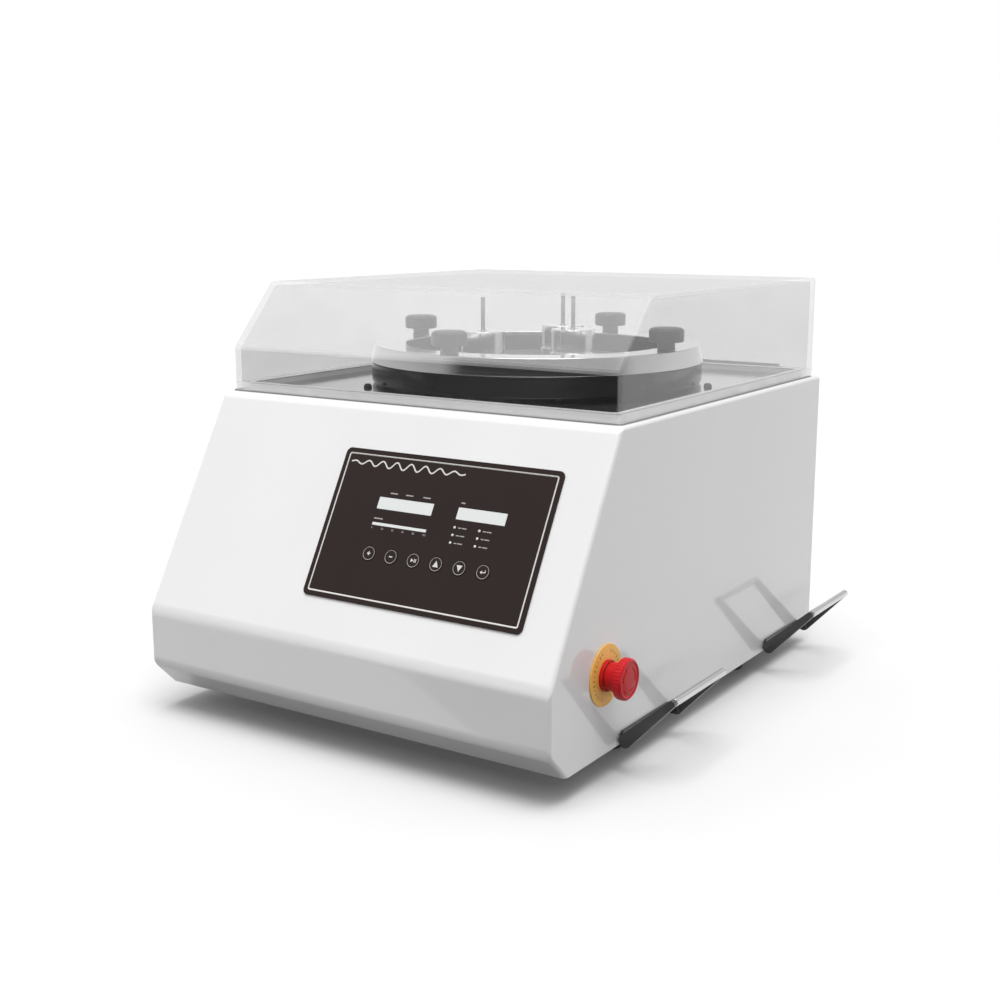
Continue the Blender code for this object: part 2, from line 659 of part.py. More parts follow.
def make_panel(finish, panel):
    """The control panel lies on the slope: x across, y up the slope, z outwards."""
    outline = rounded_rectangle(PANEL_CENTRE, PANEL_W, PANEL_H, PANEL_ROUND)
    film = prism(outline, GAP, GAP + PANEL_T)
    overlay = place("control_overlay", film, finish["panel_film"], parent=panel)
    board_top = -BOARD_DEPTH
    for x, y, width, height in (TIME_WINDOW, LEVEL_WINDOW, BAR_WINDOW):
        opening = block((x - width / 2, y - height / 2, -MM), (x + width / 2, y + height / 2, PANEL_T + MM))
        cut(overlay, opening, parent=panel)
    back = board_top + GAP
    displays = {}
    for name, (x, y, width, height) in {"time_display": TIME_WINDOW, "level_display": LEVEL_WINDOW}.items():
        lens = block((GAP - width / 2, GAP - height / 2, back), (width / 2 - GAP, height / 2 - GAP, PANEL_T))
        displays[name] = place(name, lens, finish["display"], (x, y, 0), parent=panel, smooth=False)
    # The bar graph is part of the time display's module: a shared block behind the film joins them.
    x, y, width, height = BAR_WINDOW
    bar = block((GAP - width / 2, GAP - height / 2, back), (width / 2 - GAP, height / 2 - GAP, PANEL_T))
    join(displays["time_display"], bar, (x, y, 0), parent=panel)
    tie = block((-width / 4, -height / 2 + MM, back), (width / 4, TIME_WINDOW[1] - y, -2 * MM))
    join(displays["time_display"], tie, (x, y, 0), parent=panel)
    cap_low = PANEL_T / 2
    cap_top = PANEL_T + GAP + 0.4 * MM
    profile = (
        (0, board_top + MM),
        (KEY_STEM_R, board_top + MM),
        (KEY_STEM_R, cap_low),
        (KEY_R - GAP, cap_low),
        (KEY_R - GAP, cap_top),
        (0, cap_top),
    )
    for k, name in enumerate(KEYS):
        spot = (KEY_ROW_X + (k - (len(KEYS) - 1) / 2) * KEY_PITCH, KEY_ROW_Y, 0)
        cut(overlay, cylinder(KEY_R, -MM, PANEL_T + MM, 20), spot, parent=panel)
        place(name, turned(profile, 20), finish["panel_film"], spot, parent=panel)
    half_w = CUTOUT_W / 2 + 8 * MM
    half_h = CUTOUT_H / 2 + 8 * MM
    x, y = PANEL_CENTRE
    plate = block((x - half_w, y - half_h, board_top - BOARD_T), (x + half_w, y + half_h, board_top))
    board = place("control_board", plate, finish["circuit_board"], parent=panel, smooth=False)
    for sx in (-1, 1):
        for sy in (-1, 1):
            spot = (x + sx * (half_w - 4 * MM), y + sy * (half_h - 4 * MM), 0)
            pillar = cylinder(3 * MM, board_top - BOARD_T / 2, -SHEET - GAP, 12)
            join(board, pillar, spot, parent=panel)


def make_stop(finish, frame):
    """The emergency stop button points out of the cabinet's right side along its own z."""
    face = empty("stop_face", (CABINET_W / 2, ESTOP_Y, ESTOP_Z), (0, math.radians(90), 0), frame)
    legend_top = GAP + 1.2 * MM
    hole = ESTOP_STEM_R + 0.6 * MM
    ring = ((hole, GAP), (LEGEND_R, GAP), (LEGEND_R, legend_top), (hole, legend_top))
    place("estop_legend", turned(ring, 40), finish["stop_yellow"], parent=face)
    collar_low = legend_top + GAP
    collar_high = collar_low + 3.7 * MM
    inner = ESTOP_NECK_R + 0.35 * MM
    outer = inner + 1.1 * MM
    ring = ((inner, collar_low), (outer, collar_low), (outer, collar_high), (inner, collar_high))
    place("estop_collar", turned(ring, 32), finish["stop_red"], parent=face)
    stem = cylinder(ESTOP_STEM_R, -ESTOP_STEM_IN, ESTOP_NECK_OUT, 16)
    place("estop_stem", stem, finish["brushed_steel"], parent=face)
    bore = ESTOP_STEM_R + GAP
    neck_low = collar_high + GAP
    profile = (
        (0, ESTOP_NECK_OUT + GAP),
        (bore, ESTOP_NECK_OUT + GAP),
        (bore, neck_low),
        (ESTOP_NECK_R, neck_low),
        (ESTOP_NECK_R, ESTOP_NECK_OUT),
        (ESTOP_HEAD_R - 1.5 * MM, ESTOP_NECK_OUT + 0.5 * MM),
        (ESTOP_HEAD_R, ESTOP_NECK_OUT + 2 * MM),
        (ESTOP_HEAD_R, ESTOP_OUT - 3 * MM),
        (ESTOP_HEAD_R - 1.5 * MM, ESTOP_OUT - 0.7 * MM),
        (0, ESTOP_OUT),
    )
    place("estop_head", turned(profile, 32), finish["stop_red"], parent=face)
    half_z, half_y = CONTACT_HALF
    contact = block((-half_z, -half_y, -CONTACT_IN), (half_z, half_y, -SHEET - GAP))
    contacts = place("estop_contact_block", contact, finish["black_plastic"], parent=face, smooth=False)
    cut(contacts, cylinder(hole, MM - CONTACT_IN, MM, 16), parent=face)


# ---------------------------------------------------------------- handles

def make_handles(finish, frame):
    """Four folding bails: each turns about an empty on its pivot, with x along its legs."""
    number = 0
    for side in (1, -1):
        for y in HANDLE_Y:
            number += 1
            spot = (side * (CABINET_W / 2 + HANDLE_OUT), y, HANDLE_UP)
            tilt = HANDLE_TILT if side > 0 else 180 - HANDLE_TILT
            make_bracket(f"handle_bracket_{number}", finish, frame, spot, side)
            pivot = empty(f"handle_pivot_{number}", spot, (0, -math.radians(tilt), 0), frame)
            make_bail(number, finish, pivot)


def make_bracket(name, finish, frame, spot, side):
    """A strip on the cabinet's side with two ears, and a pin stub outside each ear."""
    ear_out = HANDLE_IN - GAP
    ear_in = ear_out - EAR_T
    wall = -side * (HANDLE_OUT - GAP)
    strip_out = -side * (HANDLE_OUT - GAP - STRIP_T)
    low_x, high_x = sorted((wall, strip_out))
    strip = block((low_x, -ear_in - MM, -STRIP_HALF_H), (high_x, ear_in + MM, STRIP_HALF_H))
    bracket = place(name, strip, finish["black_coat"], spot, parent=frame)
    start, end = (-90, 90) if side > 0 else (270, 90)
    ear = arc((0, 0), EAR_R, start, end, 6) + [(wall, EAR_R), (wall, -EAR_R)]
    sideways = (math.radians(90), 0, 0)
    for way in (-1, 1):
        low, high = sorted((way * ear_in, way * ear_out))
        join(bracket, prism(ear, low, high, "Y"), spot, parent=frame)
    pin = cylinder(PIVOT_PIN_R, -HANDLE_IN - LEG_T, HANDLE_IN + LEG_T, 16)
    middle = cylinder(PIVOT_PIN_R + MM, -ear_in - MM, ear_in + MM, 16)
    join(bracket, pin, spot, sideways, frame)
    cut(bracket, middle, spot, sideways, frame)


def make_bail(number, finish, pivot):
    """Two flat legs joined by a core rod, with a loose grip tube round the rod."""
    outline = arc((0, 0), LEG_ROOT_R, 90, 270, 8) + arc((HANDLE_L, 0), LEG_TIP_R, -90, 90, 6)
    bail = place(
        f"handle_bail_{number}",
        prism(outline, HANDLE_IN, HANDLE_IN + LEG_T, "Y"),
        finish["black_coat"],
        parent=pivot,
    )
    join(bail, prism(outline, -HANDLE_IN - LEG_T, -HANDLE_IN, "Y"), parent=pivot)
    sideways = (math.radians(90), 0, 0)
    core = cylinder(GRIP_CORE_R, -HANDLE_IN - MM, HANDLE_IN + MM, 16)
    join(bail, core, (HANDLE_L, 0, 0), sideways, pivot)
    eyes = cylinder(PIVOT_EYE_R, -HANDLE_IN - 2 * LEG_T, HANDLE_IN + 2 * LEG_T, 16)
    cut(bail, eyes, (0, 0, 0), sideways, pivot)
    half = HANDLE_IN - GAP
    inner = GRIP_CORE_R + GAP
    tube = ((inner, -half), (GRIP_R, -half), (GRIP_R, half), (inner, half))
    grip = turned(tube, 20)
    place(f"handle_grip_{number}", grip, finish["polished_steel"], (HANDLE_L, 0, 0), sideways, pivot)


# ---------------------------------------------------------------- back and power

def make_back(finish, frame):
    low, high = REAR_PANEL_Z
    face = CABINET_D + GAP
    plate = block((-REAR_PANEL_W / 2, face, low), (REAR_PANEL_W / 2, face + SHEET, high))
    panel = place("rear_panel", plate, finish["white_paint"], parent=frame, smooth=False)
    for row in range(VENTS):
        z = VENT_Z + row * VENT_PITCH
        slot = block((VENT_X[0], face - MM, z), (VENT_X[1], face + 2 * SHEET, z + VENT_H))
        cut(panel, slot, parent=frame)
    half_w, half_h = INLET_W / 2 - 3 * MM, INLET_H / 2 - 3 * MM
    left, right = INLET_X - half_w, INLET_X + half_w
    hole = block((left, face - MM, INLET_Z - half_h), (right, face + 2 * SHEET, INLET_Z + half_h))
    cut(panel, hole, parent=frame)
    make_inlet(finish["black_plastic"], frame, (INLET_X, face + SHEET + GAP, INLET_Z))
    supply = block((*SUPPLY_LOW, SHEET + GAP), (*SUPPLY_HIGH, SUPPLY_TOP))
    place("drive_controller", supply, finish["black_plastic"], parent=frame, smooth=False)


def make_inlet(plastic, frame, spot):
    """The appliance inlet with its rocker switch above the socket."""
    half_w, half_h = INLET_W / 2, INLET_H / 2
    flange = block((-half_w, 0, -half_h), (half_w, INLET_FLANGE, half_h))
    inlet = place("power_inlet", flange, plastic, spot, parent=frame, smooth=False)
    half_w, half_h = half_w - 3.5 * MM, half_h - 3.5 * MM
    join(inlet, block((-half_w, -INLET_DEPTH, -half_h), (half_w, MM, half_h)), spot, parent=frame)
    cut(inlet, block((-11.5 * MM, -18 * MM, -24 * MM), (11.5 * MM, 4 * MM, -8 * MM)), spot, parent=frame)
    cut(inlet, block((-10 * MM, -12 * MM, 4 * MM), (10 * MM, 4 * MM, 24 * MM)), spot, parent=frame)
    for x, z in INLET_PINS:
        blade = block((x - MM, -20 * MM, z - 2 * MM), (x + MM, -4 * MM, z + 2 * MM))
        join(inlet, blade, spot, parent=frame)
    middle = (spot[0], spot[1] - 2 * MM, spot[2] + 14 * MM)
    pivot = empty("rocker_pivot", middle, (math.radians(-ROCKER_TILT), 0, 0), frame)
    side = (
        (-7 * MM, -8 * MM),
        (4.5 * MM, -8 * MM),
        (3.2 * MM, 0),
        (4.5 * MM, 8 * MM),
        (-7 * MM, 8 * MM),
    )
    rocker = prism(side, -9.5 * MM, 9.5 * MM, "X")
    place("power_rocker", rocker, plastic, parent=pivot, smooth=False)


def main():
    clear_scene()
    finish = make_materials()
    frame = empty("cabinet_frame", (0, FRONT_Y, FOOT_H))
    slope = math.atan2(CABINET_H - FOLD_Z, SLOPE_Y)
    panel = empty("panel_frame", (0, 0, FOLD_Z), (slope, 0, 0), frame)
    make_cabinet(finish, frame, panel)
    make_deck(finish, frame)
    make_cover(finish, frame)
    make_bowl(finish, frame)
    make_specimens(finish, frame)
    make_drive(finish, frame)
    make_panel(finish, panel)
    make_stop(finish, frame)
    make_handles(finish, frame)
    make_back(finish, frame)


main()
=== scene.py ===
"""Looks of the vibratory polisher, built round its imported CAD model.

Every visible piece is made here at full smoothness in the CAD's own frame: metres, +Z up, front towards -Y.
Places come from the CAD nodes' boxes and the record's joints. Lengths below are in millimetres times MM.
"""

import json
import math

import bmesh
import bpy
from mathutils import Euler, Matrix, Vector


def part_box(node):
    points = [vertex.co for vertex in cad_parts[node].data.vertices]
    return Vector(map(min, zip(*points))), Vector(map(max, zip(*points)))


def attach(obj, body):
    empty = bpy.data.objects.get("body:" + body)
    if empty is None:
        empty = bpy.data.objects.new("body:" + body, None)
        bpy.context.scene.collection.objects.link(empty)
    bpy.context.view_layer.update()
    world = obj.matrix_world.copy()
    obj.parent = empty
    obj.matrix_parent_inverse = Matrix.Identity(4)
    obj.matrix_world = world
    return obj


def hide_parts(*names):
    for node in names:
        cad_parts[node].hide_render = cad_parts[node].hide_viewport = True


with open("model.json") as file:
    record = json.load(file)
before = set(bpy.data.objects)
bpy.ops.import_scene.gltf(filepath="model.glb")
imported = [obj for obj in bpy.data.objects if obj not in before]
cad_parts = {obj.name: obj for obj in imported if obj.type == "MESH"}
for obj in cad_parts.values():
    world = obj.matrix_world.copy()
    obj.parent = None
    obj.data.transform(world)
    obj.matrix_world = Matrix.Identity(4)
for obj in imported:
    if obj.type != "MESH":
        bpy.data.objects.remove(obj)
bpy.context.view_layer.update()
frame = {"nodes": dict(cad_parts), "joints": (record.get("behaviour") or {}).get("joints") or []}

MM = 0.001
GAP = 0.3 * MM
LATHE_STEPS = 128
SMALL_STEPS = 48
SHARP = math.radians(35)

# Cabinet outline, from its front lower edge: depth back and height up
CHAMFER = (27.7 * MM, 27.9 * MM)
FOLD_Z = 88.2 * MM
SLOPE_Y = 125.0 * MM
SHEET = 2.0 * MM
FOLD_ROUND = 8.0 * MM
SIDE_ROUND = 4.0 * MM
COVER_WALL = 5.0 * MM
COVER_ROUND = 3.0 * MM
WEIGHT_TOP = 34.0 * MM  # the height of a weight's flat top
TOWARDS_CAMERA = (0.543, -0.840)
FLOOR_RADIUS = 14.0
FLOOR_SPLIT = 88.28  # degrees either side of the camera where the two floors meet


# ---------------------------------------------------------------- the frame's places

def centre_of(node):
    low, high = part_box(node)
    return (low + high) / 2


def joint(name):
    return next(item for item in frame["joints"] if item["name"] == name)


def pivot_of(name):
    return Vector(joint(name)["pos_m"])


CABINET_LOW, CABINET_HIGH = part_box("cabinet_shell")
BOWL_AXIS = pivot_of("bowl_vibration")
SLOPE_OUT = -Vector(joint("key_plus_press")["axis"]).normalized()


def basis(origin, x_axis, z_axis):
    """A placing matrix from an origin and two right-angled axes."""
    z_axis = Vector(z_axis).normalized()
    x_axis = Vector(x_axis).normalized()
    y_axis = z_axis.cross(x_axis)
    matrix = Matrix((x_axis, y_axis, z_axis)).transposed().to_4x4()
    return Matrix.Translation(Vector(origin)) @ matrix


def at(x=0.0, y=0.0, z=0.0):
    return Matrix.Translation((x, y, z))


def mm(*points):
    """Points given in millimetres."""
    return tuple(tuple(value * MM for value in point) for point in points)


# ---------------------------------------------------------------- shapes

def arc(centre, radius, start, end, steps=8):
    turn = [math.radians(start + (end - start) * k / steps) for k in range(steps + 1)]
    return [(centre[0] + radius * math.cos(t), centre[1] + radius * math.sin(t)) for t in turn]


def rounded_rectangle(width, height, radius, centre=(0, 0), steps=8):
    points = []
    for k, (sx, sy) in enumerate(((1, 1), (-1, 1), (-1, -1), (1, -1))):
        corner = (centre[0] + sx * (width / 2 - radius), centre[1] + sy * (height / 2 - radius))
        points += arc(corner, radius, 90 * k, 90 * k + 90, steps)
    return points


def circle(radius, centre=(0, 0), steps=SMALL_STEPS):
    return arc(centre, radius, 0, 360 - 360 / steps, steps - 1)


def filleted(points, closed=False, steps=4):
    """Rounds the corners of a path of (a, b) or (a, b, radius) points."""
    path = []
    count = len(points)
    for k, point in enumerate(points):
        corner = Vector(point[:2])
        radius = point[2] if len(point) > 2 else 0
        if radius == 0 or (not closed and k in (0, count - 1)):
            path.append(tuple(corner))
            continue
        before = (Vector(points[k - 1][:2]) - corner).normalized()
        after = (Vector(points[(k + 1) % count][:2]) - corner).normalized()
        half = math.acos(max(-1, min(1, before.dot(after)))) / 2
        if half > math.radians(89.5):
            path.append(tuple(corner))
            continue
        middle = corner + (before + after).normalized() * radius / math.sin(half)
        first = corner + before * radius / math.tan(half) - middle
        last = corner + after * radius / math.tan(half) - middle
        sweep = first.angle_signed(last)
        for step in range(steps + 1):
            turned = first.copy()
            turned.rotate(Matrix.Rotation(-sweep * step / steps, 2))
            path.append(tuple(middle + turned))
    return path


def prism(outline, low, high, bm=None):
    bm = bm or bmesh.new()
    lower = [bm.verts.new((a, b, low)) for a, b in outline]
    upper = [bm.verts.new((a, b, high)) for a, b in outline]
    bm.faces.new(lower[::-1])
    bm.faces.new(upper)
    for i in range(len(outline)):
        j = (i + 1) % len(outline)
        bm.faces.new((lower[i], lower[j], upper[j], upper[i]))
    return bm


def block(low, high, bm=None):
    outline = ((low[0], low[1]), (high[0], low[1]), (high[0], high[1]), (low[0], high[1]))
    return prism(outline, low[2], high[2], bm)


def slab(width, height, radius, low, high, centre=(0, 0)):
    """A plate with rounded corners, flat across local Z."""
    return prism(rounded_rectangle(width, height, radius, centre), low, high)


def rod(radius, low, high, steps=SMALL_STEPS, centre=(0, 0)):
    return prism(circle(radius, centre, steps), low, high)


def turned(profile, steps=LATHE_STEPS, wave=None):
    """A solid of revolution about local Z from (radius, height, fillet) points.

    It is a ring unless the profile starts on the axis. wave(radius, height, angle) may change the radius.
    """
    ring_shape = profile[0][0] > 0
    bm = bmesh.new()
    rings = []
    for radius, height in filleted(profile, closed=ring_shape):
        if radius < 1e-7:
            rings.append([bm.verts.new((0, 0, height))])
            continue
        ring = []
        for k in range(steps):
            angle = 2 * math.pi * k / steps
            r = wave(radius, height, angle) if wave else radius
            ring.append(bm.verts.new((r * math.cos(angle), r * math.sin(angle), height)))
        rings.append(ring)
    pairs = list(zip(rings, rings[1:]))
    if ring_shape:
        pairs.append((rings[-1], rings[0]))
    for first, second in pairs:
        for k in range(steps):
            n = (k + 1) % steps
            corners = [first[k % len(first)], first[n % len(first)]]
            corners += [second[n % len(second)], second[k % len(second)]]
            bm.faces.new(list(dict.fromkeys(corners)))
    return bm


def added(name, data):
    """A new object in the scene."""
    obj = bpy.data.objects.new(name, data)
    bpy.context.collection.objects.link(obj)
    return obj


def solid(name, bm, place=None):
    bmesh.ops.recalc_face_normals(bm, faces=bm.faces)
    mesh = bpy.data.meshes.new(name)
    bm.to_mesh(mesh)
    bm.free()
    mesh.shade_smooth()
    mesh.set_sharp_from_angle(angle=SHARP)
    obj = added(name, mesh)
    obj.matrix_world = place or Matrix.Identity(4)
    return obj


def apply_modifiers(obj):
    """Replaces the object's mesh by its evaluated mesh."""
    graph = bpy.context.evaluated_depsgraph_get()
    made = bpy.data.meshes.new_from_object(obj.evaluated_get(graph))
    obj.modifiers.clear()
    obj.data = made


def combine(obj, tool, operation="DIFFERENCE"):
    """Cuts a helper object out of obj, or joins it on, and removes the helper."""
    bpy.context.view_layer.update()
    modifier = obj.modifiers.new("cut", "BOOLEAN")
    modifier.operation = operation
    modifier.solver = "EXACT"
    modifier.object = tool
    apply_modifiers(obj)
    bpy.data.objects.remove(tool)


def cut(obj, bm, place=None, operation="DIFFERENCE"):
    combine(obj, solid(obj.name + "_tool", bm, place or obj.matrix_world), operation)


def soften(obj, width, segments=3, angle=40):
    """Rounds the sharp edges and keeps flat faces flat in shading."""
    modifier = obj.modifiers.new("edges", "BEVEL")
    modifier.width = width
    modifier.segments = segments
    modifier.limit_method = "ANGLE"
    modifier.angle_limit = math.radians(angle)
    modifier.harden_normals = False
    even(obj)
    return obj


def split_ngons(obj):
    """Cuts faces of many sides into triangles, which keeps a face with a hole flat."""
    bm = bmesh.new()
    bm.from_mesh(obj.data)
    bmesh.ops.triangulate(bm, faces=[face for face in bm.faces if len(face.verts) > 4])
    bm.to_mesh(obj.data)
    bm.free()


def even(obj):
    modifier = obj.modifiers.new("normals", "WEIGHTED_NORMAL")
    modifier.keep_sharp = True
    bpy.context.view_layer.update()
    apply_modifiers(obj)


def piece(obj, finish, body, *replaced):
    """Gives a piece its material and its body."""
    obj.data.materials.clear()
    obj.data.materials.append(FINISH[finish])
    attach(obj, body)
    if replaced:
        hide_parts(*replaced)
    return obj


def lathe(name, profile, place, finish, body, *replaced, steps=LATHE_STEPS, wave=None):
    """A turned piece with its finish and its body."""
    made = solid(name, turned(profile, steps, wave), place)
    even(made)
    return piece(made, finish, body, *replaced)


# ---------------------------------------------------------------- materials

def material(name, colour, roughness, metallic=0.0, **settings):
    made = bpy.data.materials.new(name)
    made.use_nodes = True
    shader = made.node_tree.nodes["Principled BSDF"]
    shader.inputs["Base Color"].default_value = (*colour, 1.0)
    shader.inputs["Roughness"].default_value = roughness
    shader.inputs["Metallic"].default_value = metallic
    for socket, value in settings.items():
        shader.inputs[socket.replace("_", " ")].default_value = value
    return made


class Graph:
    """Short forms for adding nodes to one material, or to the world."""

    def __init__(self, made):
        self.tree = made.node_tree
        self.shader = self.tree.nodes.get("Principled BSDF")

    def node(self, kind, inputs=None, **settings):
        """A new node. An input given as a socket is linked, any other is set."""
        made = self.tree.nodes.new(kind)
        for key, value in settings.items():
            setattr(made, key, value)
        for key, value in (inputs or {}).items():
            if isinstance(value, bpy.types.NodeSocket):
                self.link(value, made.inputs[key])
            else:
                made.inputs[key].default_value = value
        return made

    def link(self, source, target):
        self.tree.links.new(source, target)

    def object_space(self, stretch=(1, 1, 1)):
        space = self.node("ShaderNodeTexCoord").outputs["Object"]
        return self.node("ShaderNodeMapping", {"Vector": space, "Scale": stretch}).outputs["Vector"]

    def noise(self, vector, scale, detail=3.0, roughness=0.5):
        inputs = {"Vector": vector, "Scale": scale, "Detail": detail, "Roughness": roughness}
        return self.node("ShaderNodeTexNoise", inputs).outputs["Fac"]

    def spread(self, value, low, high, start=0.3, end=0.7):
        inputs = {"Value": value, "From Min": start, "From Max": end, "To Min": low, "To Max": high}
        return self.node("ShaderNodeMapRange", inputs).outputs["Result"]

    def mix(self, factor, first, second):
        """Mixes two colours, each given as three channels or as a socket."""
        sides = {"A": first, "B": second}
        inputs = {key: (*side, 1.0) if isinstance(side, tuple) else side for key, side in sides.items()}
        return self.node("ShaderNodeMix", {"Factor": factor} | inputs, data_type="RGBA").outputs["Result"]

    def layer(self, factor, under, over):
        return self.node("ShaderNodeMixShader", {0: factor, 1: under, 2: over}).outputs["Shader"]

    def maths(self, operation, *values):
        return self.node("ShaderNodeMath", dict(enumerate(values)), operation=operation).outputs["Value"]

    def bump(self, height, distance):
        made = self.node("ShaderNodeBump", {"Height": height, "Distance": distance, "Strength": 1.0})
        self.link(made.outputs["Normal"], self.shader.inputs["Normal"])

    def round_z(self, vector):
        """Radius, angle and height about local Z."""
        x, y, z = self.node("ShaderNodeSeparateXYZ", {"Vector": vector}).outputs
        square = self.maths("ADD", self.maths("POWER", x, 2.0), self.maths("POWER", y, 2.0))
        return self.maths("SQRT", square), self.maths("ARCTAN2", y, x), z

    def ramp(self, source, *stops):
        """Grey levels, eased from one (place, level) stop to the next."""
        made = self.node("ShaderNodeValToRGB", {"Fac": source})
        made.color_ramp.interpolation = "EASE"
        for k, (place, level) in enumerate(stops):
            stop = made.color_ramp.elements[k] if k < 2 else made.color_ramp.elements.new(place)
            stop.position = place
            stop.color = (level, level, level, 1.0)
        return made.outputs["Color"]

    def colour(self, socket):
        self.link(socket, self.shader.inputs["Base Color"])

    def drift(self, pattern, colour, darker, lighter):
        """Lets the colour wander between two shades."""
        self.colour(self.mix(self.spread(pattern, 0, 1), shade(colour, darker), shade(colour, lighter)))

    def rough(self, socket):
        self.link(socket, self.shader.inputs["Roughness"])


def shade(colour, factor):
    return tuple(min(1.0, channel * factor) for channel in colour)


def grained(name, colour, roughness, scale, depth, metallic=0.0, vary=0.06, spread=0.05, **settings):
    """Moulded, painted or cast surface: fine grain in the bump, slow drift in colour and gloss."""
    made = material(name, colour, roughness, metallic, **settings)
    graph = Graph(made)
    space = graph.object_space()
    slow = graph.noise(space, 9.0, 3.0)
    fine = graph.noise(space, scale, 2.0)
    graph.drift(slow, colour, 1 - vary, 1 + vary)
    mixed = graph.maths("ADD", graph.maths("MULTIPLY", slow, 0.6), graph.maths("MULTIPLY", fine, 0.4))
    graph.rough(graph.spread(mixed, roughness - spread, roughness + spread, 0.35, 0.65))
    graph.bump(fine, depth)
    return made


def turned_metal(name, colour, roughness, line, depth, metallic=1.0, streak=0.5, **settings):
    """Metal turned or brushed round local Z: fine rings of gloss and bump, with faint arcs of wear."""
    made = material(name, colour, roughness, metallic, **settings)
    graph = Graph(made)
    space = graph.object_space()
    radius, angle, z = graph.round_z(space)
    inputs = {"X": radius, "Y": graph.maths("MULTIPLY", angle, 0.004), "Z": z}
    unrolled = graph.node("ShaderNodeCombineXYZ", inputs).outputs["Vector"]
    lines = graph.noise(unrolled, line, 4.0, 0.6)
    arcs = graph.noise(space, 14.0, 3.0)
    graph.rough(graph.spread(lines, roughness * (1 - streak), roughness * (1 + streak), 0.3, 0.7))
    graph.drift(arcs, colour, 0.93, 1.05)
    graph.bump(lines, depth)
    return made


def polished_weight(name, colour):
    """Polished steel with three bright stripes of painted reflection down its wall, and a darker rod."""
    made = turned_metal(name, colour, 0.1, 1800.0, 6e-6, streak=0.3)
    graph = Graph(made)
    radius, angle, z = graph.round_z(graph.object_space())
    # painted reflection: three stripes at fixed angles round the wall, mixed towards white and stripped of
    # metal, stand in for mirrored light
    turn = graph.maths("MULTIPLY_ADD", angle, 3.0, 0.633)
    band = graph.spread(graph.maths("COSINE", turn), 0, 1, 0.62, 0.9)
    below_top = graph.maths("LESS_THAN", z, WEIGHT_TOP - 1.2 * MM)
    wall = graph.maths("MULTIPLY", graph.maths("GREATER_THAN", radius, 20 * MM), below_top)
    band = graph.maths("MULTIPLY", band, wall)
    dull = graph.mix(graph.maths("GREATER_THAN", radius, 4 * MM), shade(colour, 0.4), colour)
    graph.colour(graph.mix(band, dull, (0.92, 0.92, 0.92)))
    graph.link(graph.maths("SUBTRACT", 1.0, band), graph.shader.inputs["Metallic"])
    return made


def brushed_metal(name, colour, roughness, stretch, depth, metallic=1.0, **settings):
    """Metal brushed along one local axis, the one with the small stretch."""
    made = material(name, colour, roughness, metallic, **settings)
    graph = Graph(made)
    lines = graph.noise(graph.object_space(stretch), 1.0, 4.0, 0.6)
    slow = graph.noise(graph.object_space(), 11.0, 2.0)
    graph.rough(graph.spread(lines, roughness * 0.7, roughness * 1.35))
    graph.drift(slow, colour, 0.93, 1.05)
    graph.bump(lines, depth)
    return made


def woven(name, colour):
    """Short-napped polishing cloth."""
    made = material(name, colour, 0.92, Sheen_Weight=0.4, Sheen_Roughness=0.4)
    graph = Graph(made)
    space = graph.object_space()
    fibres = graph.noise(space, 1500.0, 4.0, 0.7)
    patches = graph.noise(space, 30.0, 3.0)
    graph.drift(patches, colour, 0.8, 1.3)
    graph.bump(fibres, 0.0004)
    return made


def lit(name, colour, strength):
    """A lit display window with a faint pixel grid behind its front."""
    made = material(name, colour, 0.25, Emission_Strength=strength)
    graph = Graph(made)
    graph.shader.inputs["Emission Color"].default_value = (*colour, 1.0)
    inputs = {"Vector": graph.object_space(), "Scale": 900.0, "Randomness": 0.0}
    cells = graph.node("ShaderNodeTexVoronoi", inputs, distance="CHEBYCHEV")
    grid = graph.spread(cells.outputs["Distance"], 0, 1, 0.2, 0.6)
    graph.colour(graph.mix(grid, colour, shade(colour, 0.9)))
    return made


def clear(name, haze, clearness=0.985, roughness=0.04, mirrored=0.03, rising=0.9):
    """Clear acrylic sheet: seen through, mirrored at a slant, with a thin veil that catches the light."""
    made = bpy.data.materials.new(name)
    made.use_nodes = True
    graph = Graph(made)
    shader = graph.shader
    tint = (clearness, clearness, clearness, 1.0)
    shader.inputs["Base Color"].default_value = tint
    shader.inputs["Roughness"].default_value = 0.5
    through = graph.node("ShaderNodeBsdfTransparent", {"Color": tint})
    mirror = graph.node("ShaderNodeBsdfGlossy", {"Roughness": roughness})
    smears = graph.noise(graph.object_space(), 12.0, 4.0)
    share = graph.spread(smears, haze * 0.85, haze * 1.15)
    veil = graph.layer(share, through.outputs["BSDF"], shader.outputs["BSDF"])
    slant = graph.node("ShaderNodeLayerWeight", {"Blend": 0.5})
    grazing = graph.maths("POWER", slant.outputs["Facing"], 5.0)
    share = graph.maths("MULTIPLY_ADD", grazing, rising, mirrored)
    top = graph.layer(share, veil, mirror.outputs["BSDF"])
    graph.link(top, graph.tree.nodes["Material Output"].inputs["Surface"])
    return made


def coat(weight, roughness):
    """Settings of a clear coat over paint."""
    return {"Coat_Weight": weight, "Coat_Roughness": roughness}


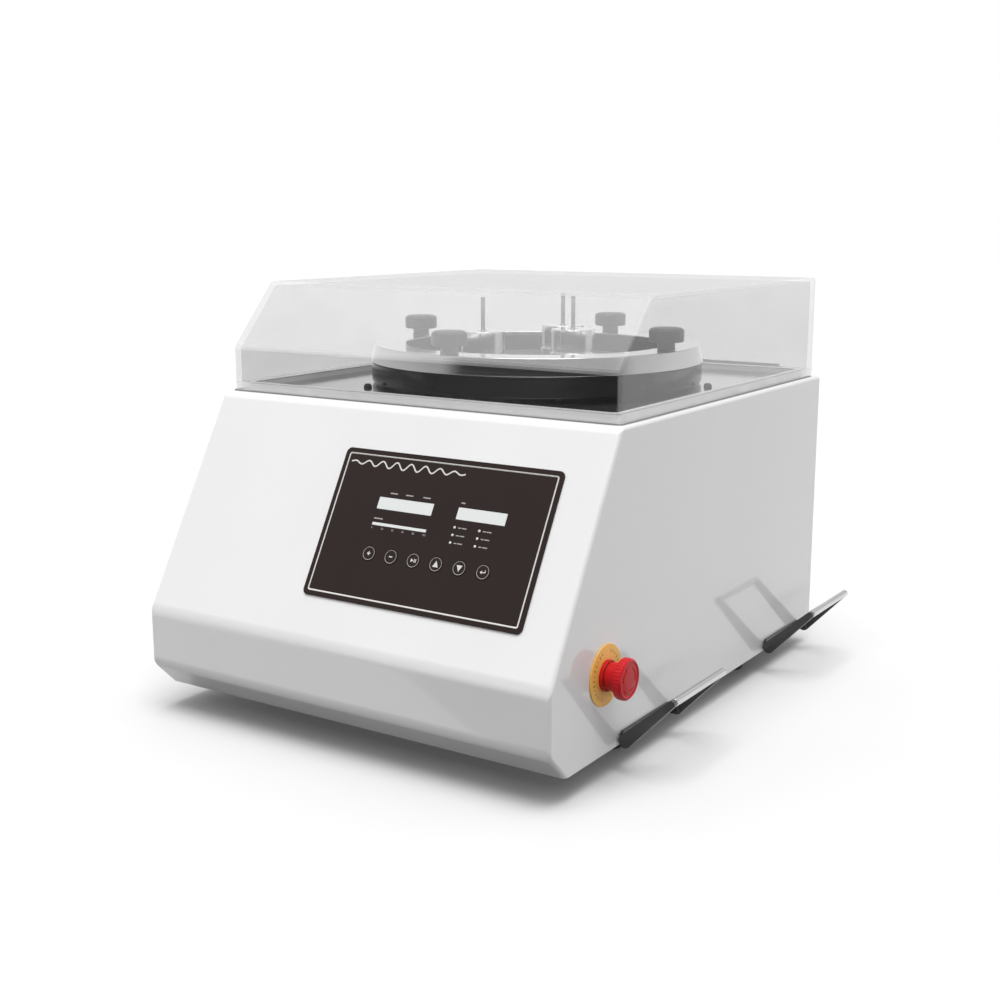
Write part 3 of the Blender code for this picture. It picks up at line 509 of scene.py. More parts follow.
FINISHES = (
    grained("white_paint", (0.80, 0.80, 0.80), 0.45, 800.0, 2e-5, vary=0.012, **coat(1.0, 0.06)),
    # copies of one clear sheet for the cover's faces: apart from the frosted foot, their veils and tints
    # differ so that each face takes on the lightness it shows in this light, partly the sheet's own haze and
    # partly painted light and shade
    clear("clear_front", 0.012, 0.86, mirrored=0.012),
    clear("clear_haze", 0.09, 0.94),
    clear("clear_top", 0.1, 0.86, rising=0.7),
    clear("clear_foot", 0.36),
    clear("clear_slope", 0.03, 0.995, mirrored=0.22),
    clear("clear_edge", 0.12, 0.94, 0.35, 0.01, 0.2),
    brushed_metal("deck_steel", (0.52, 0.52, 0.53), 0.13, (6.0, 900.0, 900.0), 2e-6),
    brushed_metal("rim_steel", (0.84, 0.84, 0.84), 0.42, (6.0, 900.0, 900.0), 2e-5, 0.1),
    turned_metal("brushed_steel", (0.53, 0.53, 0.54), 0.12, 2600.0, 4e-6, streak=0.3),
    brushed_metal("plated_steel", (0.60, 0.60, 0.61), 0.3, (9.0, 700.0, 700.0), 2e-5),
    polished_weight("weight_steel", (0.58, 0.58, 0.59)),
    turned_metal("grip_steel", (0.62, 0.62, 0.63), 0.16, 1800.0, 4e-6, streak=0.3),
    turned_metal("bowl_black", (0.008, 0.008, 0.009), 0.13, 900.0, 4e-6, 0.0, 0.25, Specular_IOR_Level=0.25),
    grained("black_coat", (0.022, 0.022, 0.024), 0.34, 900.0, 4e-5, vary=0.15, **coat(0.2, 0.2)),
    grained("handle_coat", (0.045, 0.045, 0.048), 0.32, 900.0, 3e-5, vary=0.12, **coat(0.5, 0.15)),
    grained("black_plastic", (0.035, 0.035, 0.037), 0.42, 1200.0, 4e-5, vary=0.12),
    # painted shadow: the dark grey of the strip round the cover's foot
    grained("gap_shadow_grey", (0.22, 0.22, 0.22), 0.6, 900.0, 3e-5, vary=0.1),
    grained("rubber", (0.022, 0.022, 0.022), 0.78, 500.0, 0.0001, vary=0.2),
    woven("cloth", (0.05, 0.05, 0.055)),
    grained("panel_film", (0.021, 0.0115, 0.011), 0.5, 1600.0, 2e-5, vary=0.04, Specular_IOR_Level=0.2),
    grained("panel_print", (0.66, 0.64, 0.62), 0.5, 1500.0, 1e-5, vary=0.03),
    grained("panel_grey", (0.36, 0.34, 0.33), 0.5, 1500.0, 1e-5, vary=0.03),
    lit("display", (0.62, 0.64, 0.63), 0.2),
    grained("stop_red", (0.56, 0.004, 0.010), 0.36, 900.0, 3e-5, vary=0.06, Specular_IOR_Level=0.3),
    grained("stop_yellow", (0.95, 0.55, 0.12), 0.45, 900.0, 2e-5, vary=0.03),
    grained("stop_print", (0.16, 0.10, 0.05), 0.5, 900.0, 2e-5, vary=0.1),
    grained("cast_iron", (0.12, 0.13, 0.14), 0.6, 400.0, 0.0002, 0.6, vary=0.15),
    brushed_metal("spring_steel", (0.33, 0.36, 0.42), 0.3, (700.0, 700.0, 9.0), 2e-5),
    brushed_metal("copper", (0.60, 0.28, 0.14), 0.35, (9.0, 9.0, 1400.0), 0.0002),
    grained("circuit_board", (0.03, 0.17, 0.07), 0.4, 300.0, 5e-5, vary=0.2),
)
# a name may end in a number, where the CAD has a material of that name
FINISH = {made.name.split(".")[0]: made for made in FINISHES}


# ---------------------------------------------------------------- screws

def screw_mesh(radius, height):
    """A button-head screw with a six-sided socket, standing on local z = 0."""
    profile = (
        (0, 0), (radius, 0, 0.1 * MM), (radius, height * 0.35, radius * 0.2),
        (radius * 0.55, height, radius * 0.3), (0, height),
    )
    head = solid("screw_pattern", turned(profile, SMALL_STEPS))
    cut(head, rod(radius * 0.45, height * 0.3, height * 2, 6))
    even(head)
    mesh = head.data
    bpy.data.objects.remove(head)
    return mesh


def screws(name, spots, out, body, radius=3.0 * MM, height=1.8 * MM, finish="plated_steel"):
    """Screw heads at points, standing along the direction out."""
    mesh = screw_mesh(radius, height)
    side = Vector((1, 0, 0)) if abs(Vector(out).x) < 0.9 else Vector((0, 1, 0))
    for k, spot in enumerate(spots):
        obj = added(f"{name}_{k + 1}", mesh.copy())
        turn = Matrix.Rotation(math.radians(37 * k), 4, "Z")
        obj.matrix_world = basis(spot, side, out) @ turn
        piece(obj, finish, body)


# ---------------------------------------------------------------- cabinet

def inset(outline, distance):
    """Moves a clockwise outline inwards by a distance."""
    lines = []
    for (ax, ay), (bx, by) in zip(outline, outline[1:] + outline[:1]):
        length = math.hypot(bx - ax, by - ay)
        nx, ny = (by - ay) / length, (ax - bx) / length
        lines.append((nx, ny, nx * ax + ny * ay + distance))
    points = []
    for (px, py, pd), (qx, qy, qd) in zip(lines[-1:] + lines[:-1], lines):
        det = px * qy - py * qx
        points.append(((pd * qy - py * qd) / det, (px * qd - pd * qx) / det))
    return points


def folded_block(name, outline, width, folds, sides, open_back, steps=8):
    """A block over a side outline of (y, z) points, rounded along its folds and along its two side faces.

    The edges at its floor and, if asked, at its back stay sharp.
    """
    bm = bmesh.new()
    left = [bm.verts.new((-width / 2, a, b)) for a, b in outline]
    right = [bm.verts.new((width / 2, a, b)) for a, b in outline]
    bm.faces.new(left)
    bm.faces.new(right[::-1])
    for i in range(len(outline)):
        j = (i + 1) % len(outline)
        bm.faces.new((left[i], right[i], right[j], left[j]))
    floor = min(b for _, b in outline)
    back = max(a for a, _ in outline)
    weight = bm.edges.layers.float.new("bevel_weight_edge")
    for edge in bm.edges:
        a, b = (v.co for v in edge.verts)
        at_floor = max(a.z, b.z) < floor + MM
        at_back = open_back and min(a.y, b.y) > back - MM
        if not at_floor and not at_back:
            edge[weight] = 1.0 if abs(a.x - b.x) > MM else sides / folds
    obj = solid(name, bm)
    modifier = obj.modifiers.new("rounding", "BEVEL")
    modifier.limit_method = "WEIGHT"
    modifier.width = folds
    modifier.segments = steps
    bpy.context.view_layer.update()
    apply_modifiers(obj)
    return obj


def make_cabinet():
    low, high = CABINET_LOW, CABINET_HIGH
    outline = [
        (low.y + CHAMFER[0], low.z), (low.y, low.z + CHAMFER[1]), (low.y, low.z + FOLD_Z),
        (low.y + SLOPE_Y, high.z), (high.y, high.z), (high.y, low.z),
    ]
    width = high.x - low.x
    shell = folded_block("cabinet_skin", outline, width, FOLD_ROUND, SIDE_ROUND, True)
    inner = inset(outline, SHEET)
    drop = 5 * MM
    inner[0] = (inner[0][0] + SHEET + drop, low.z - drop)
    inner[-1] = (inner[-1][0], low.z - drop)
    inside = width - 2 * SHEET
    combine(shell, folded_block("hollow", inner, inside, FOLD_ROUND - SHEET, SIDE_ROUND - SHEET, True))
    tray_low, tray_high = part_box("deck_tray")
    margin = 30 * MM
    top = block(
        (tray_low.x + margin, tray_low.y + margin, high.z - 4 * SHEET),
        (tray_high.x - margin, tray_high.y - margin, high.z + SHEET),
    )
    cut(shell, top)
    back_low, back_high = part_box("rear_panel")
    margin = 14 * MM
    back = block(
        (back_low.x + margin, high.y - 4 * SHEET, back_low.z + margin),
        (back_high.x - margin, high.y + SHEET, back_high.z - margin),
    )
    cut(shell, back)
    board_low, board_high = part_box("control_board")
    window = rounded_rectangle(board_high.x - board_low.x - 20 * MM, 110 * MM, 4 * MM)
    cut(shell, prism(window, -10 * MM, 2 * MM), panel_place())
    stop = centre_of("estop_legend")
    hole = rod(8 * MM, -8 * MM, 2 * MM)
    cut(shell, hole, basis((high.x, stop.y, stop.z), (0, 1, 0), (1, 0, 0)))
    even(shell)
    piece(shell, "white_paint", "cabinet", "cabinet_shell")

    paint(frame["nodes"]["base_plate"], "white_paint")
    for k in range(4):
        make_foot(k + 1)


def make_foot(number):
    low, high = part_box(f"foot_{number}")
    centre = (low + high) / 2
    radius = (high.x - low.x) / 2
    tall = high.z - low.z
    profile = (
        (0, 0.8 * MM), (radius * 0.45, 0.8 * MM, 0.3 * MM), (radius * 0.5, 0, 0.3 * MM),
        (radius * 0.88, 0, 1.2 * MM), (radius - 0.2 * MM, 3.5 * MM, 2 * MM),
        (radius * 0.93, tall * 0.55, MM), (radius * 0.88, tall * 0.62, 0.8 * MM),
        (radius * 0.9, tall - 4 * MM, MM), (radius * 0.8, tall, MM), (0, tall),
    )
    place = at(centre.x, centre.y, low.z)
    node = f"foot_{number}"
    lathe(f"rubber_{node}", profile, place, "rubber", "cabinet", node, steps=SMALL_STEPS * 2)


def paint(node, finish):
    """A CAD node that stays gets a full material in place of its plain one."""
    node.data.materials.clear()
    node.data.materials.append(FINISH[finish])


# ---------------------------------------------------------------- control panel

def panel_place(x=0.0, y=0.0, z=0.0):
    """A point in the panel's plane, from the middle of its back face: x across, y up the slope, z out."""
    centre = centre_of("control_overlay")
    thick = PANEL_T / 2
    origin = centre - SLOPE_OUT * (thick + GAP)
    return basis(origin, (1, 0, 0), SLOPE_OUT) @ at(x, y, z)


PANEL_T = 1.2 * MM
PANEL_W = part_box("control_overlay")[1].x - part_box("control_overlay")[0].x
PANEL_H = 158.0 * MM
PANEL_ROUND = 6.0 * MM
FACE = GAP + PANEL_T  # height of the film's face in panel_place
PRINT_T = 0.08 * MM
KEY_NAMES = ("plus", "minus", "start", "up", "down", "enter")


def on_panel(node):
    """The middle of a node in the panel's plane, as (x, y)."""
    local = panel_place().inverted() @ centre_of(node)
    return local.x, local.y


def printed(name, outline, x=0.0, y=0.0, hole=None, body="cabinet", height=FACE, finish="panel_print"):
    """A thin printed shape on the film."""
    mark = solid(name, prism(outline, height + 0.01 * MM, height + PRINT_T), panel_place(x, y))
    if hole:
        cut(mark, prism(hole, 0, height + MM))
    return piece(mark, finish, body)


def bar_outline(width, height, x=0.0, y=0.0):
    return rounded_rectangle(width, height, min(width, height) * 0.3, (x, y), 4)


def make_overlay():
    overlay = solid("panel_film", slab(PANEL_W, PANEL_H, PANEL_ROUND, GAP, FACE), panel_place())
    for x, y, width, height in windows().values():
        cut(overlay, slab(width, height, 0.8 * MM, 0, FACE * 2, (x, y)))
    for key in KEY_NAMES:
        x, y = on_panel(f"key_{key}")
        cut(overlay, rod(8.0 * MM, 0, FACE * 2, centre=(x, y)))
    piece(soften(overlay, 0.25 * MM, 2), "panel_film", "cabinet", "control_overlay")
    margin = 5.0 * MM
    line = 1.5 * MM
    outer = rounded_rectangle(PANEL_W - 2 * margin, PANEL_H - 2 * margin, 2.5 * MM)
    inner = rounded_rectangle(PANEL_W - 2 * margin - 2 * line, PANEL_H - 2 * margin - 2 * line, 1.5 * MM)
    printed("panel_border", outer, hole=inner)


def windows():
    """The three display windows as (x, y, width, height) in the panel's plane."""
    level_x, level_y = on_panel("level_display")
    time_x = on_panel("key_minus")[0] - 1.5 * MM
    return {
        "time": (time_x, level_y - 0.3 * MM, 67.0 * MM, 13.0 * MM),
        "level": (level_x, level_y, 56.5 * MM, 12.8 * MM),
        "bar": (time_x, level_y - 22.1 * MM, 66.5 * MM, 3.6 * MM),
    }


def make_displays():
    for name, (x, y, width, height) in windows().items():
        shape = slab(width - 2 * GAP, height - 2 * GAP, 0.6 * MM, -3 * MM, FACE - 0.15 * MM)
        lens = solid(f"{name}_window", shape, panel_place(x, y))
        soften(lens, 0.2 * MM, 2)
        replaced = () if name == "bar" else (f"{name}_display",)
        piece(lens, "display", "cabinet", *replaced)
    time_x, time_y = windows()["time"][:2]
    level_x, level_y, _, level_h = windows()["level"]
    bar_x, bar_y, bar_w, bar_h = windows()["bar"]
    labels = [(time_x + dx * MM, time_y + 11 * MM, 9 * MM) for dx in (-17, 2, 23)]
    labels.append((level_x - 24 * MM, level_y + 10.5 * MM, 4.5 * MM))
    labels.append((bar_x - 27 * MM, bar_y + 5.5 * MM, 11 * MM))
    for k, (x, y, width) in enumerate(labels):
        printed(f"label_bar_{k + 1}", bar_outline(width, 1.3 * MM), x, y, finish="panel_grey")
    for k in range(6):
        x = bar_x - bar_w / 2 + 1.5 * MM + k * (bar_w - 3 * MM) / 5
        number(f"scale_number_{k + 1}", str(k * 20), 2.9 * MM, x, bar_y - bar_h / 2 - 3.6 * MM)
    for column, dx in enumerate((-26, 2.5)):
        for row in range(3):
            x = level_x + dx * MM
            y = level_y - level_h / 2 - (8 + 7.7 * row) * MM
            profile = mm((0, 0), (1.3, 0), (1.3, 0.3, 0.2), (0.6, 0.7, 0.4), (0, 0.75))
            place = panel_place(x, y, FACE + 0.01 * MM)
            piece(solid(f"lamp_{column + 1}_{row + 1}", turned(profile, 24), place), "display", "cabinet")
            for part, (start, width) in enumerate(((4, 3.4), (8.2, 5.6))):
                mark = bar_outline(width * MM, 1.1 * MM)
                middle = x + (start + width / 2) * MM
                printed(f"lamp_label_{column + 1}_{row + 1}_{part + 1}", mark, middle, y, finish="panel_grey")


def number(name, text, size, x, y):
    """Raised digits, centred on a point of the panel."""
    curve = bpy.data.curves.new(name, "FONT")
    curve.body = text
    curve.size = size
    curve.align_x = "CENTER"
    curve.extrude = PRINT_T / 2
    maker = added(name + "_text", curve)
    graph = bpy.context.evaluated_depsgraph_get()
    mesh = bpy.data.meshes.new_from_object(maker.evaluated_get(graph))
    bpy.data.objects.remove(maker)
    digits = added(name, mesh)
    digits.matrix_world = panel_place(x, y, FACE + PRINT_T / 2 + 0.01 * MM)
    piece(digits, "panel_grey", "cabinet")


def make_title():
    """A plain wave line where a heading would be: a sign for vibration."""
    points = []
    waves = 8
    steps = waves * 24
    length = 141.0 * MM
    for k in range(steps + 1):
        t = k / steps
        fade = math.sin(math.pi * t) ** 0.5
        points.append((length * (t - 0.5), 3.6 * MM * fade * math.sin(2 * math.pi * waves * t)))
    thick = 0.75 * MM
    bm = bmesh.new()
    rows = []
    for k, (a, b) in enumerate(points):
        before = points[max(k - 1, 0)]
        after = points[min(k + 1, steps)]
        along = Vector((after[0] - before[0], after[1] - before[1])).normalized()
        edges = ((a + way * along.y * thick, b - way * along.x * thick) for way in (-1, 1))
        rows.append([bm.verts.new((*edge, z)) for edge in edges for z in (0, PRINT_T)])
    for first, second in zip(rows, rows[1:]):
        for i, j in ((0, 1), (1, 3), (3, 2), (2, 0)):
            bm.faces.new((first[i], first[j], second[j], second[i]))
    for row in (rows[0], rows[-1]):
        bm.faces.new((row[0], row[1], row[3], row[2]))
    spot = panel_place(-PANEL_W / 2 + 10 * MM + length / 2, PANEL_H / 2 - 14.5 * MM, FACE + 0.01 * MM)
    piece(solid("wave_sign", bm, spot), "panel_print", "cabinet")


def key_signs(key):
    """Outlines of the sign on one key, in millimetres about the key's middle."""
    tall = ((-3.3, -2.8), (3.3, -2.8), (0, 3.6))
    signs = {
        "plus": [((-2, -0.55), (-0.55, -0.55), (-0.55, -2), (0.55, -2), (0.55, -0.55), (2, -0.55), (2, 0.55),
                  (0.55, 0.55), (0.55, 2), (-0.55, 2), (-0.55, 0.55), (-2, 0.55))],
        "minus": [((-2, -0.55), (2, -0.55), (2, 0.55), (-2, 0.55))],
        "start": [((-2.6, -1.9), (0.6, 0), (-2.6, 1.9)), ((1.2, -1.9), (2.0, -1.9), (2.0, 1.9), (1.2, 1.9)),
                  ((2.8, -1.9), (3.6, -1.9), (3.6, 1.9), (2.8, 1.9))],
        "up": [tall],
        "down": [tuple((a, -b) for a, b in tall)],
        "enter": [((-3.2, -0.4), (-1, -2.2), (-1, -0.8), (3, -0.8), (3, 2), (2.2, 2), (2.2, 0), (-1, 0),
                   (-1, 1.4))],
    }
    return signs[key]


def make_keys():
    node_low = FACE - GAP
    for key in KEY_NAMES:
        body = f"key_{key}"
        x, y = on_panel(body)
        radius = 7.65 * MM
        face = FACE + 0.4 * MM
        profile = (
            (0, -8.5 * MM), (2 * MM, -8.5 * MM, 0.3 * MM), (2 * MM, node_low - 0.6 * MM),
            (radius, node_low - 0.6 * MM, 0.15 * MM), (radius, face, 0.35 * MM),
            (radius - 1.6 * MM, face, 0.1 * MM), (radius - 1.9 * MM, face - 0.12 * MM, 0.1 * MM),
            (0, face - 0.05 * MM),
        )
        lathe(f"{body}_cap", profile, panel_place(x, y), "panel_film", body, body, steps=72)
        outer, inner = (circle(radius - width * MM, steps=72) for width in (0.85, 1.4))
        printed(f"{body}_ring", outer, x, y, inner, body, face, "panel_grey")
        for k, outline in enumerate(key_signs(key)):
            scaled = [(a * MM, b * MM) for a, b in outline]
            printed(f"{body}_sign_{k + 1}", scaled, x, y, body=body, height=face - 0.08 * MM)


def make_panel():
    make_overlay()
    make_displays()
    make_title()
    make_keys()
    paint(frame["nodes"]["control_board"], "circuit_board")


# ---------------------------------------------------------------- emergency stop

def stop_place(z=0.0, turn=0.0):
    """A place on the stop's axis: z out from the cabinet's side."""
    centre = centre_of("estop_legend")
    place = basis((CABINET_HIGH.x, centre.y, centre.z), (0, 1, 0), (1, 0, 0))
    return place @ at(0, 0, z) @ Matrix.Rotation(turn, 4, "Z")


def stop_span(node):
    """Radius, start and end of a round CAD node along the stop's axis."""
    low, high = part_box(node)
    return (high.z - low.z) / 2, low.x - CABINET_HIGH.x, high.x - CABINET_HIGH.x


def make_stop():
    low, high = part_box("estop_legend")
    radius = (high.z - low.z) / 2
    thick = high.x - low.x
    top = GAP + thick
    profile = (
        (5.6 * MM, GAP), (radius, GAP, 0.2 * MM), (radius, top, 0.4 * MM), (5.6 * MM, top),
    )
    place = stop_place()
    lathe("stop_legend", profile, place, "stop_yellow", "cabinet", "estop_legend")
    for k in range(26):
        around = math.radians(20 + 140 * (k % 13) / 12 + (180 if k > 12 else 0))
        length = (2.6, 3.6, 1.8)[k % 3] * MM
        mark = bar_outline(0.9 * MM, length)
        spot = stop_place(top + 0.01 * MM, around) @ at(0, radius * 0.78, 0)
        tick = solid(f"stop_tick_{k + 1}", prism(mark, 0, PRINT_T), spot)
        piece(tick, "stop_print", "cabinet")

    outer, start, end = stop_span("estop_collar")
    inner = outer - 1.1 * MM
    profile = ((inner, start), (outer, start, 0.2 * MM), (outer, end, 0.6 * MM), (inner, end, 0.2 * MM))
    lathe("stop_collar", profile, place, "stop_red", "cabinet", "estop_collar")

    stem_r, start, end = stop_span("estop_stem")
    profile = ((0, start), (stem_r, start, 0.6 * MM), (stem_r, end, 0.4 * MM), (0, end))
    lathe("stop_stem", profile, place, "plated_steel", "estop_plunger", "estop_stem", steps=SMALL_STEPS)

    radius, start, face = stop_span("estop_head")
    neck = 13.75 * MM

    def fluted(r, z, angle):
        on_rim = r > radius * 0.97 and 18 * MM < z < 24.8 * MM
        return r - 0.35 * MM * (0.5 + 0.5 * math.cos(36 * angle)) if on_rim else r

    profile = (
        (0, end + GAP), (stem_r + GAP, end + GAP), (stem_r + GAP, start), (neck, start, 0.4 * MM),
        (neck, 16.4 * MM, 0.8 * MM), (radius * 0.86, 17.0 * MM, 1.2 * MM),
        (radius, 18.3 * MM, 0.7 * MM), (radius, 20.5 * MM, 0.2 * MM), (radius, 24.6 * MM, 0.8 * MM),
        (radius * 0.9, 26.5 * MM, 0.6 * MM), (radius * 0.84, 26.3 * MM, 0.4 * MM),
        (radius * 0.8, 25.6 * MM, 0.6 * MM), (radius * 0.4, 26.3 * MM, 2 * MM), (0, face - 0.5 * MM),
    )
    lathe("stop_head", profile, place, "stop_red", "estop_button", "estop_head", steps=288, wave=fluted)
    for k in range(3):
        start, end = 120 * k, 120 * k + 62
        band = arc((0, 0), 12.2 * MM, start, end, 14) + arc((0, 0), 11.0 * MM, end, start, 14)
        arrow = solid(f"stop_arrow_{k + 1}", prism(band, 25.7 * MM, 26.55 * MM), place)
        tip = prism(mm((9.8, -0.2), (13.4, -0.2), (11.6, -3.6)), 25.7 * MM, 26.55 * MM)
        cut(arrow, tip, stop_place(0, math.radians(start)), "UNION")
        piece(soften(arrow, 0.12 * MM, 2), "stop_red", "estop_button")
    paint(frame["nodes"]["estop_contact_block"], "black_plastic")


# ---------------------------------------------------------------- deck, bowl and ring

def make_deck():
    low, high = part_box("deck_tray")
    centre = (low + high) / 2
    width = high.x - low.x
    depth = high.y - low.y
    tall = high.z - low.z
    rim = 6.0 * MM
    place = at(centre.x, centre.y, low.z)
    lip = tall - 1.5 * MM
    tray = solid("deck_pan", slab(width, depth, 10 * MM, 0, lip), place)
    cut(tray, slab(width - 2 * rim, depth - 2 * rim, 5 * MM, SHEET, tall * 2))
    groove = solid("groove", slab(width + 4 * MM, depth + 4 * MM, 12 * MM, 4.2 * MM, 4.8 * MM), place)
    cut(groove, slab(width - 1.2 * MM, depth - 1.2 * MM, 9.4 * MM, 0, tall))
    combine(tray, groove)
    cut(tray, rod(31 * MM, -MM, tall), at(BOWL_AXIS.x, BOWL_AXIS.y, low.z))
    split_ngons(tray)
    piece(soften(tray, 0.5 * MM, 3), "deck_steel", "cabinet", "deck_tray")
    tray.data.materials.append(FINISH["rim_steel"])
    for face in tray.data.polygons:
        if face.center.z > low.z + SHEET + 0.1 * MM or abs(face.normal.z) < 0.5:
            face.material_index = 1
    place = at(centre.x, centre.y, low.z + lip + 0.1 * MM)
    strip = solid("rim_seal", slab(width - MM, depth - MM, 9.5 * MM, 0, 1.4 * MM), place)
    cut(strip, slab(width - 2 * rim + MM, depth - 2 * rim + MM, 5.5 * MM, -MM, 4 * MM))
    piece(soften(strip, 0.5 * MM, 3), "rim_steel", "cabinet")
    domes = ((-121.0, -161.0), (194.0, 50.0), (-194.0, 50.0))
    for k, (x, y) in enumerate(domes):
        profile = mm((0, 0), (4.5, 0, 0.2), (4.5, 2, 1), (3, 4.4, 2), (0, 4.8))
        place = at(BOWL_AXIS.x + x * MM, BOWL_AXIS.y + y * MM, low.z + SHEET + 0.05 * MM)
        lathe(f"deck_bumper_{k + 1}", profile, place, "rubber", "cabinet", steps=SMALL_STEPS)


def bowl_place(z=0.0):
    return at(BOWL_AXIS.x, BOWL_AXIS.y, z)


def drill_for_knobs(obj, radius, low, high):
    for k in range(4):
        x, y, _ = centre_of(f"clamp_knob_{k + 1}")
        cut(obj, rod(radius, low, high, 24), at(x, y, 0))
    even(obj)


def make_bowl():
    low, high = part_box("bowl")
    radius = (high.x - low.x) / 2
    neck = 183.0 * MM
    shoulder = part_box("clamp_ring")[0].z - 0.6 * MM
    cloth_low, cloth_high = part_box("polishing_cloth")
    inner = (cloth_high.x - cloth_low.x) / 2 + MM
    floor = cloth_low.z - GAP
    under = floor - 11.7 * MM
    skirt = under - 7 * MM
    profile = (
        (0, low.z), (22 * MM, low.z, MM), (22 * MM, under, 2 * MM), (neck - 9 * MM, under, 2 * MM),
        (neck - 9 * MM, skirt, 0.8 * MM), (radius, skirt, 3 * MM), (radius, shoulder, MM),
        (neck, shoulder, 0.4 * MM), (neck, high.z, 0.8 * MM), (inner, high.z, 0.8 * MM),
        (inner, floor, 0.6 * MM), (0, floor),
    )
    bowl = solid("bowl_body", turned(profile, 256), bowl_place())
    drill_for_knobs(bowl, 4.6 * MM, high.z - 19 * MM, high.z + 2 * MM)
    piece(bowl, "bowl_black", "bowl", "bowl")
    profile = (
        (0, cloth_low.z), (inner - MM, cloth_low.z, 0.2 * MM),
        (inner - MM, cloth_high.z, 0.4 * MM), (0, cloth_high.z),
    )
    cloth = lathe("cloth_disc", profile, bowl_place(), "cloth", "bowl", "polishing_cloth", steps=192)

    low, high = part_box("clamp_ring")
    outer_low = (high.x - low.x) / 2
    outer_top = outer_low - 4.5 * MM
    bore = 150.0 * MM
    under = high.z - 4.9 * MM
    profile = (
        (bore, under, 0.3 * MM), (bore, high.z, 1.0 * MM), (outer_top, high.z, 1.6 * MM),
        (outer_low, low.z, 0.5 * MM), (neck + 0.6 * MM, low.z, 0.3 * MM), (neck + 0.6 * MM, under),
    )
    ring = solid("steel_ring", turned(profile, 320), bowl_place())
    drill_for_knobs(ring, 4.5 * MM, under - 2 * MM, high.z + 2 * MM)
    piece(ring, "brushed_steel", "bowl", "clamp_ring")


def make_knobs():
    ring_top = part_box("clamp_ring")[1].z
    profile = mm(
        (0, -18), (4, -18, 0.6), (4, 0), (10, 0, 0.5), (10, 1.6, 0.6), (9.6, 2.2, 0.6),
        (9.6, 8.2, 1.2), (18, 8.5, 0.8), (19.2, 9.8, 0.8), (19.2, 21.6, 2), (15.5, 23.9, 3), (0, 24.5),
    )
    for k in range(4):
        body = f"clamp_knob_{k + 1}"
        x, y, _ = centre_of(body)
        lathe(f"ring_knob_{k + 1}", profile, at(x, y, ring_top + GAP), "black_plastic", body, body, steps=96)


def make_weights():
    for k in range(3):
        node = f"specimen_weight_{k + 1}"
        low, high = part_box(node)
        centre = (low + high) / 2
        top = WEIGHT_TOP / MM
        tall = (high.z - low.z) / MM
        profile = mm(
            (0, 0), (27.5, 0, 0.8), (27.5, 6.6, 1), (24.6, 7.6, 0.8), (24.6, 9.4, 0.8), (25.8, 10.2, 0.8),
            (25.8, top, 1.2), (7, top, 0.5), (6, top - 0.8, 0.5), (4.5, top - 0.8, 0.3),
            (4, top + 0.4, 0.4), (2.5, top + 0.8, 0.4), (2.5, tall, 0.6), (0, tall),
        )
        place = at(centre.x, centre.y, low.z)
        lathe(f"steel_weight_{k + 1}", profile, place, "weight_steel", f"specimen_{k + 1}", node)


# ---------------------------------------------------------------- cover and hinge

COVER_FRONT_H = 48.2 * MM
COVER_TOP_BACK = 62.4 * MM
COVER_SLOPE_H = 69.1 * MM
COVER_SLOPE_Z = COVER_TOP_BACK / math.hypot(COVER_TOP_BACK, COVER_SLOPE_H)
COVER_FOOT_H = 9.2 * MM  # the frosted band round its foot


def make_cover():
    low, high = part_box("cover")
    outline = [
        (low.y, low.z), (low.y, low.z + COVER_FRONT_H), (low.y + COVER_TOP_BACK, high.z),
        (high.y, high.z), (high.y, low.z),
    ]
    cover = folded_block("clear_cover", outline, high.x - low.x, COVER_ROUND, COVER_ROUND, False, 5)
    inner = inset(outline, COVER_WALL)
    drop = 10 * MM
    inner[0] = (inner[0][0], low.z - drop)
    inner[-1] = (inner[-1][0], low.z - drop)
    inside = high.x - low.x - 2 * COVER_WALL
    combine(cover, folded_block("hollow", inner, inside, COVER_ROUND / 2, COVER_ROUND / 2, False, 3))
    soften(cover, 0.5 * MM, 2, 60)
    foot = low.z + COVER_FOOT_H
    bm = bmesh.new()
    bm.from_mesh(cover.data)
    whole = bm.verts[:] + bm.edges[:] + bm.faces[:]
    bmesh.ops.bisect_plane(bm, geom=whole, plane_co=(0, 0, foot), plane_no=(0, 0, 1))
    bm.to_mesh(cover.data)
    bm.free()
    # each face of the cover takes the copy of the clear sheet set for its own tone: painted light and shade,
    # except the frosted foot
    sides = ("haze", "front", "edge", "slope", "foot", "top")
    piece(cover, "clear_haze", "cover", "cover")
    for side in sides[1:]:
        cover.data.materials.append(FINISH[f"clear_{side}"])
    for face in cover.data.polygons:
        centre, normal = face.center, face.normal
        if centre.z < foot:
            side = "foot"
        elif abs(normal.z) > 0.999 and centre.z > high.z - 6 * MM:
            side = "top"
        elif abs(normal.y) > 0.999 and centre.y < low.y + 6 * MM:
            side = "front"
        elif abs(abs(normal.z) - COVER_SLOPE_Z) < 0.004 and abs(normal.x) < 0.01:
            side = "slope"
        elif max(abs(normal.x), abs(normal.y), abs(normal.z)) < 0.999:
            side = "edge"
        else:
            side = "haze"
        face.material_index = sides.index(side)
    cover.visible_glossy = False
    # a dark strip round the cover's foot paints the shadow of the gap beneath it
    make_cover_gap_shadow(low, high)


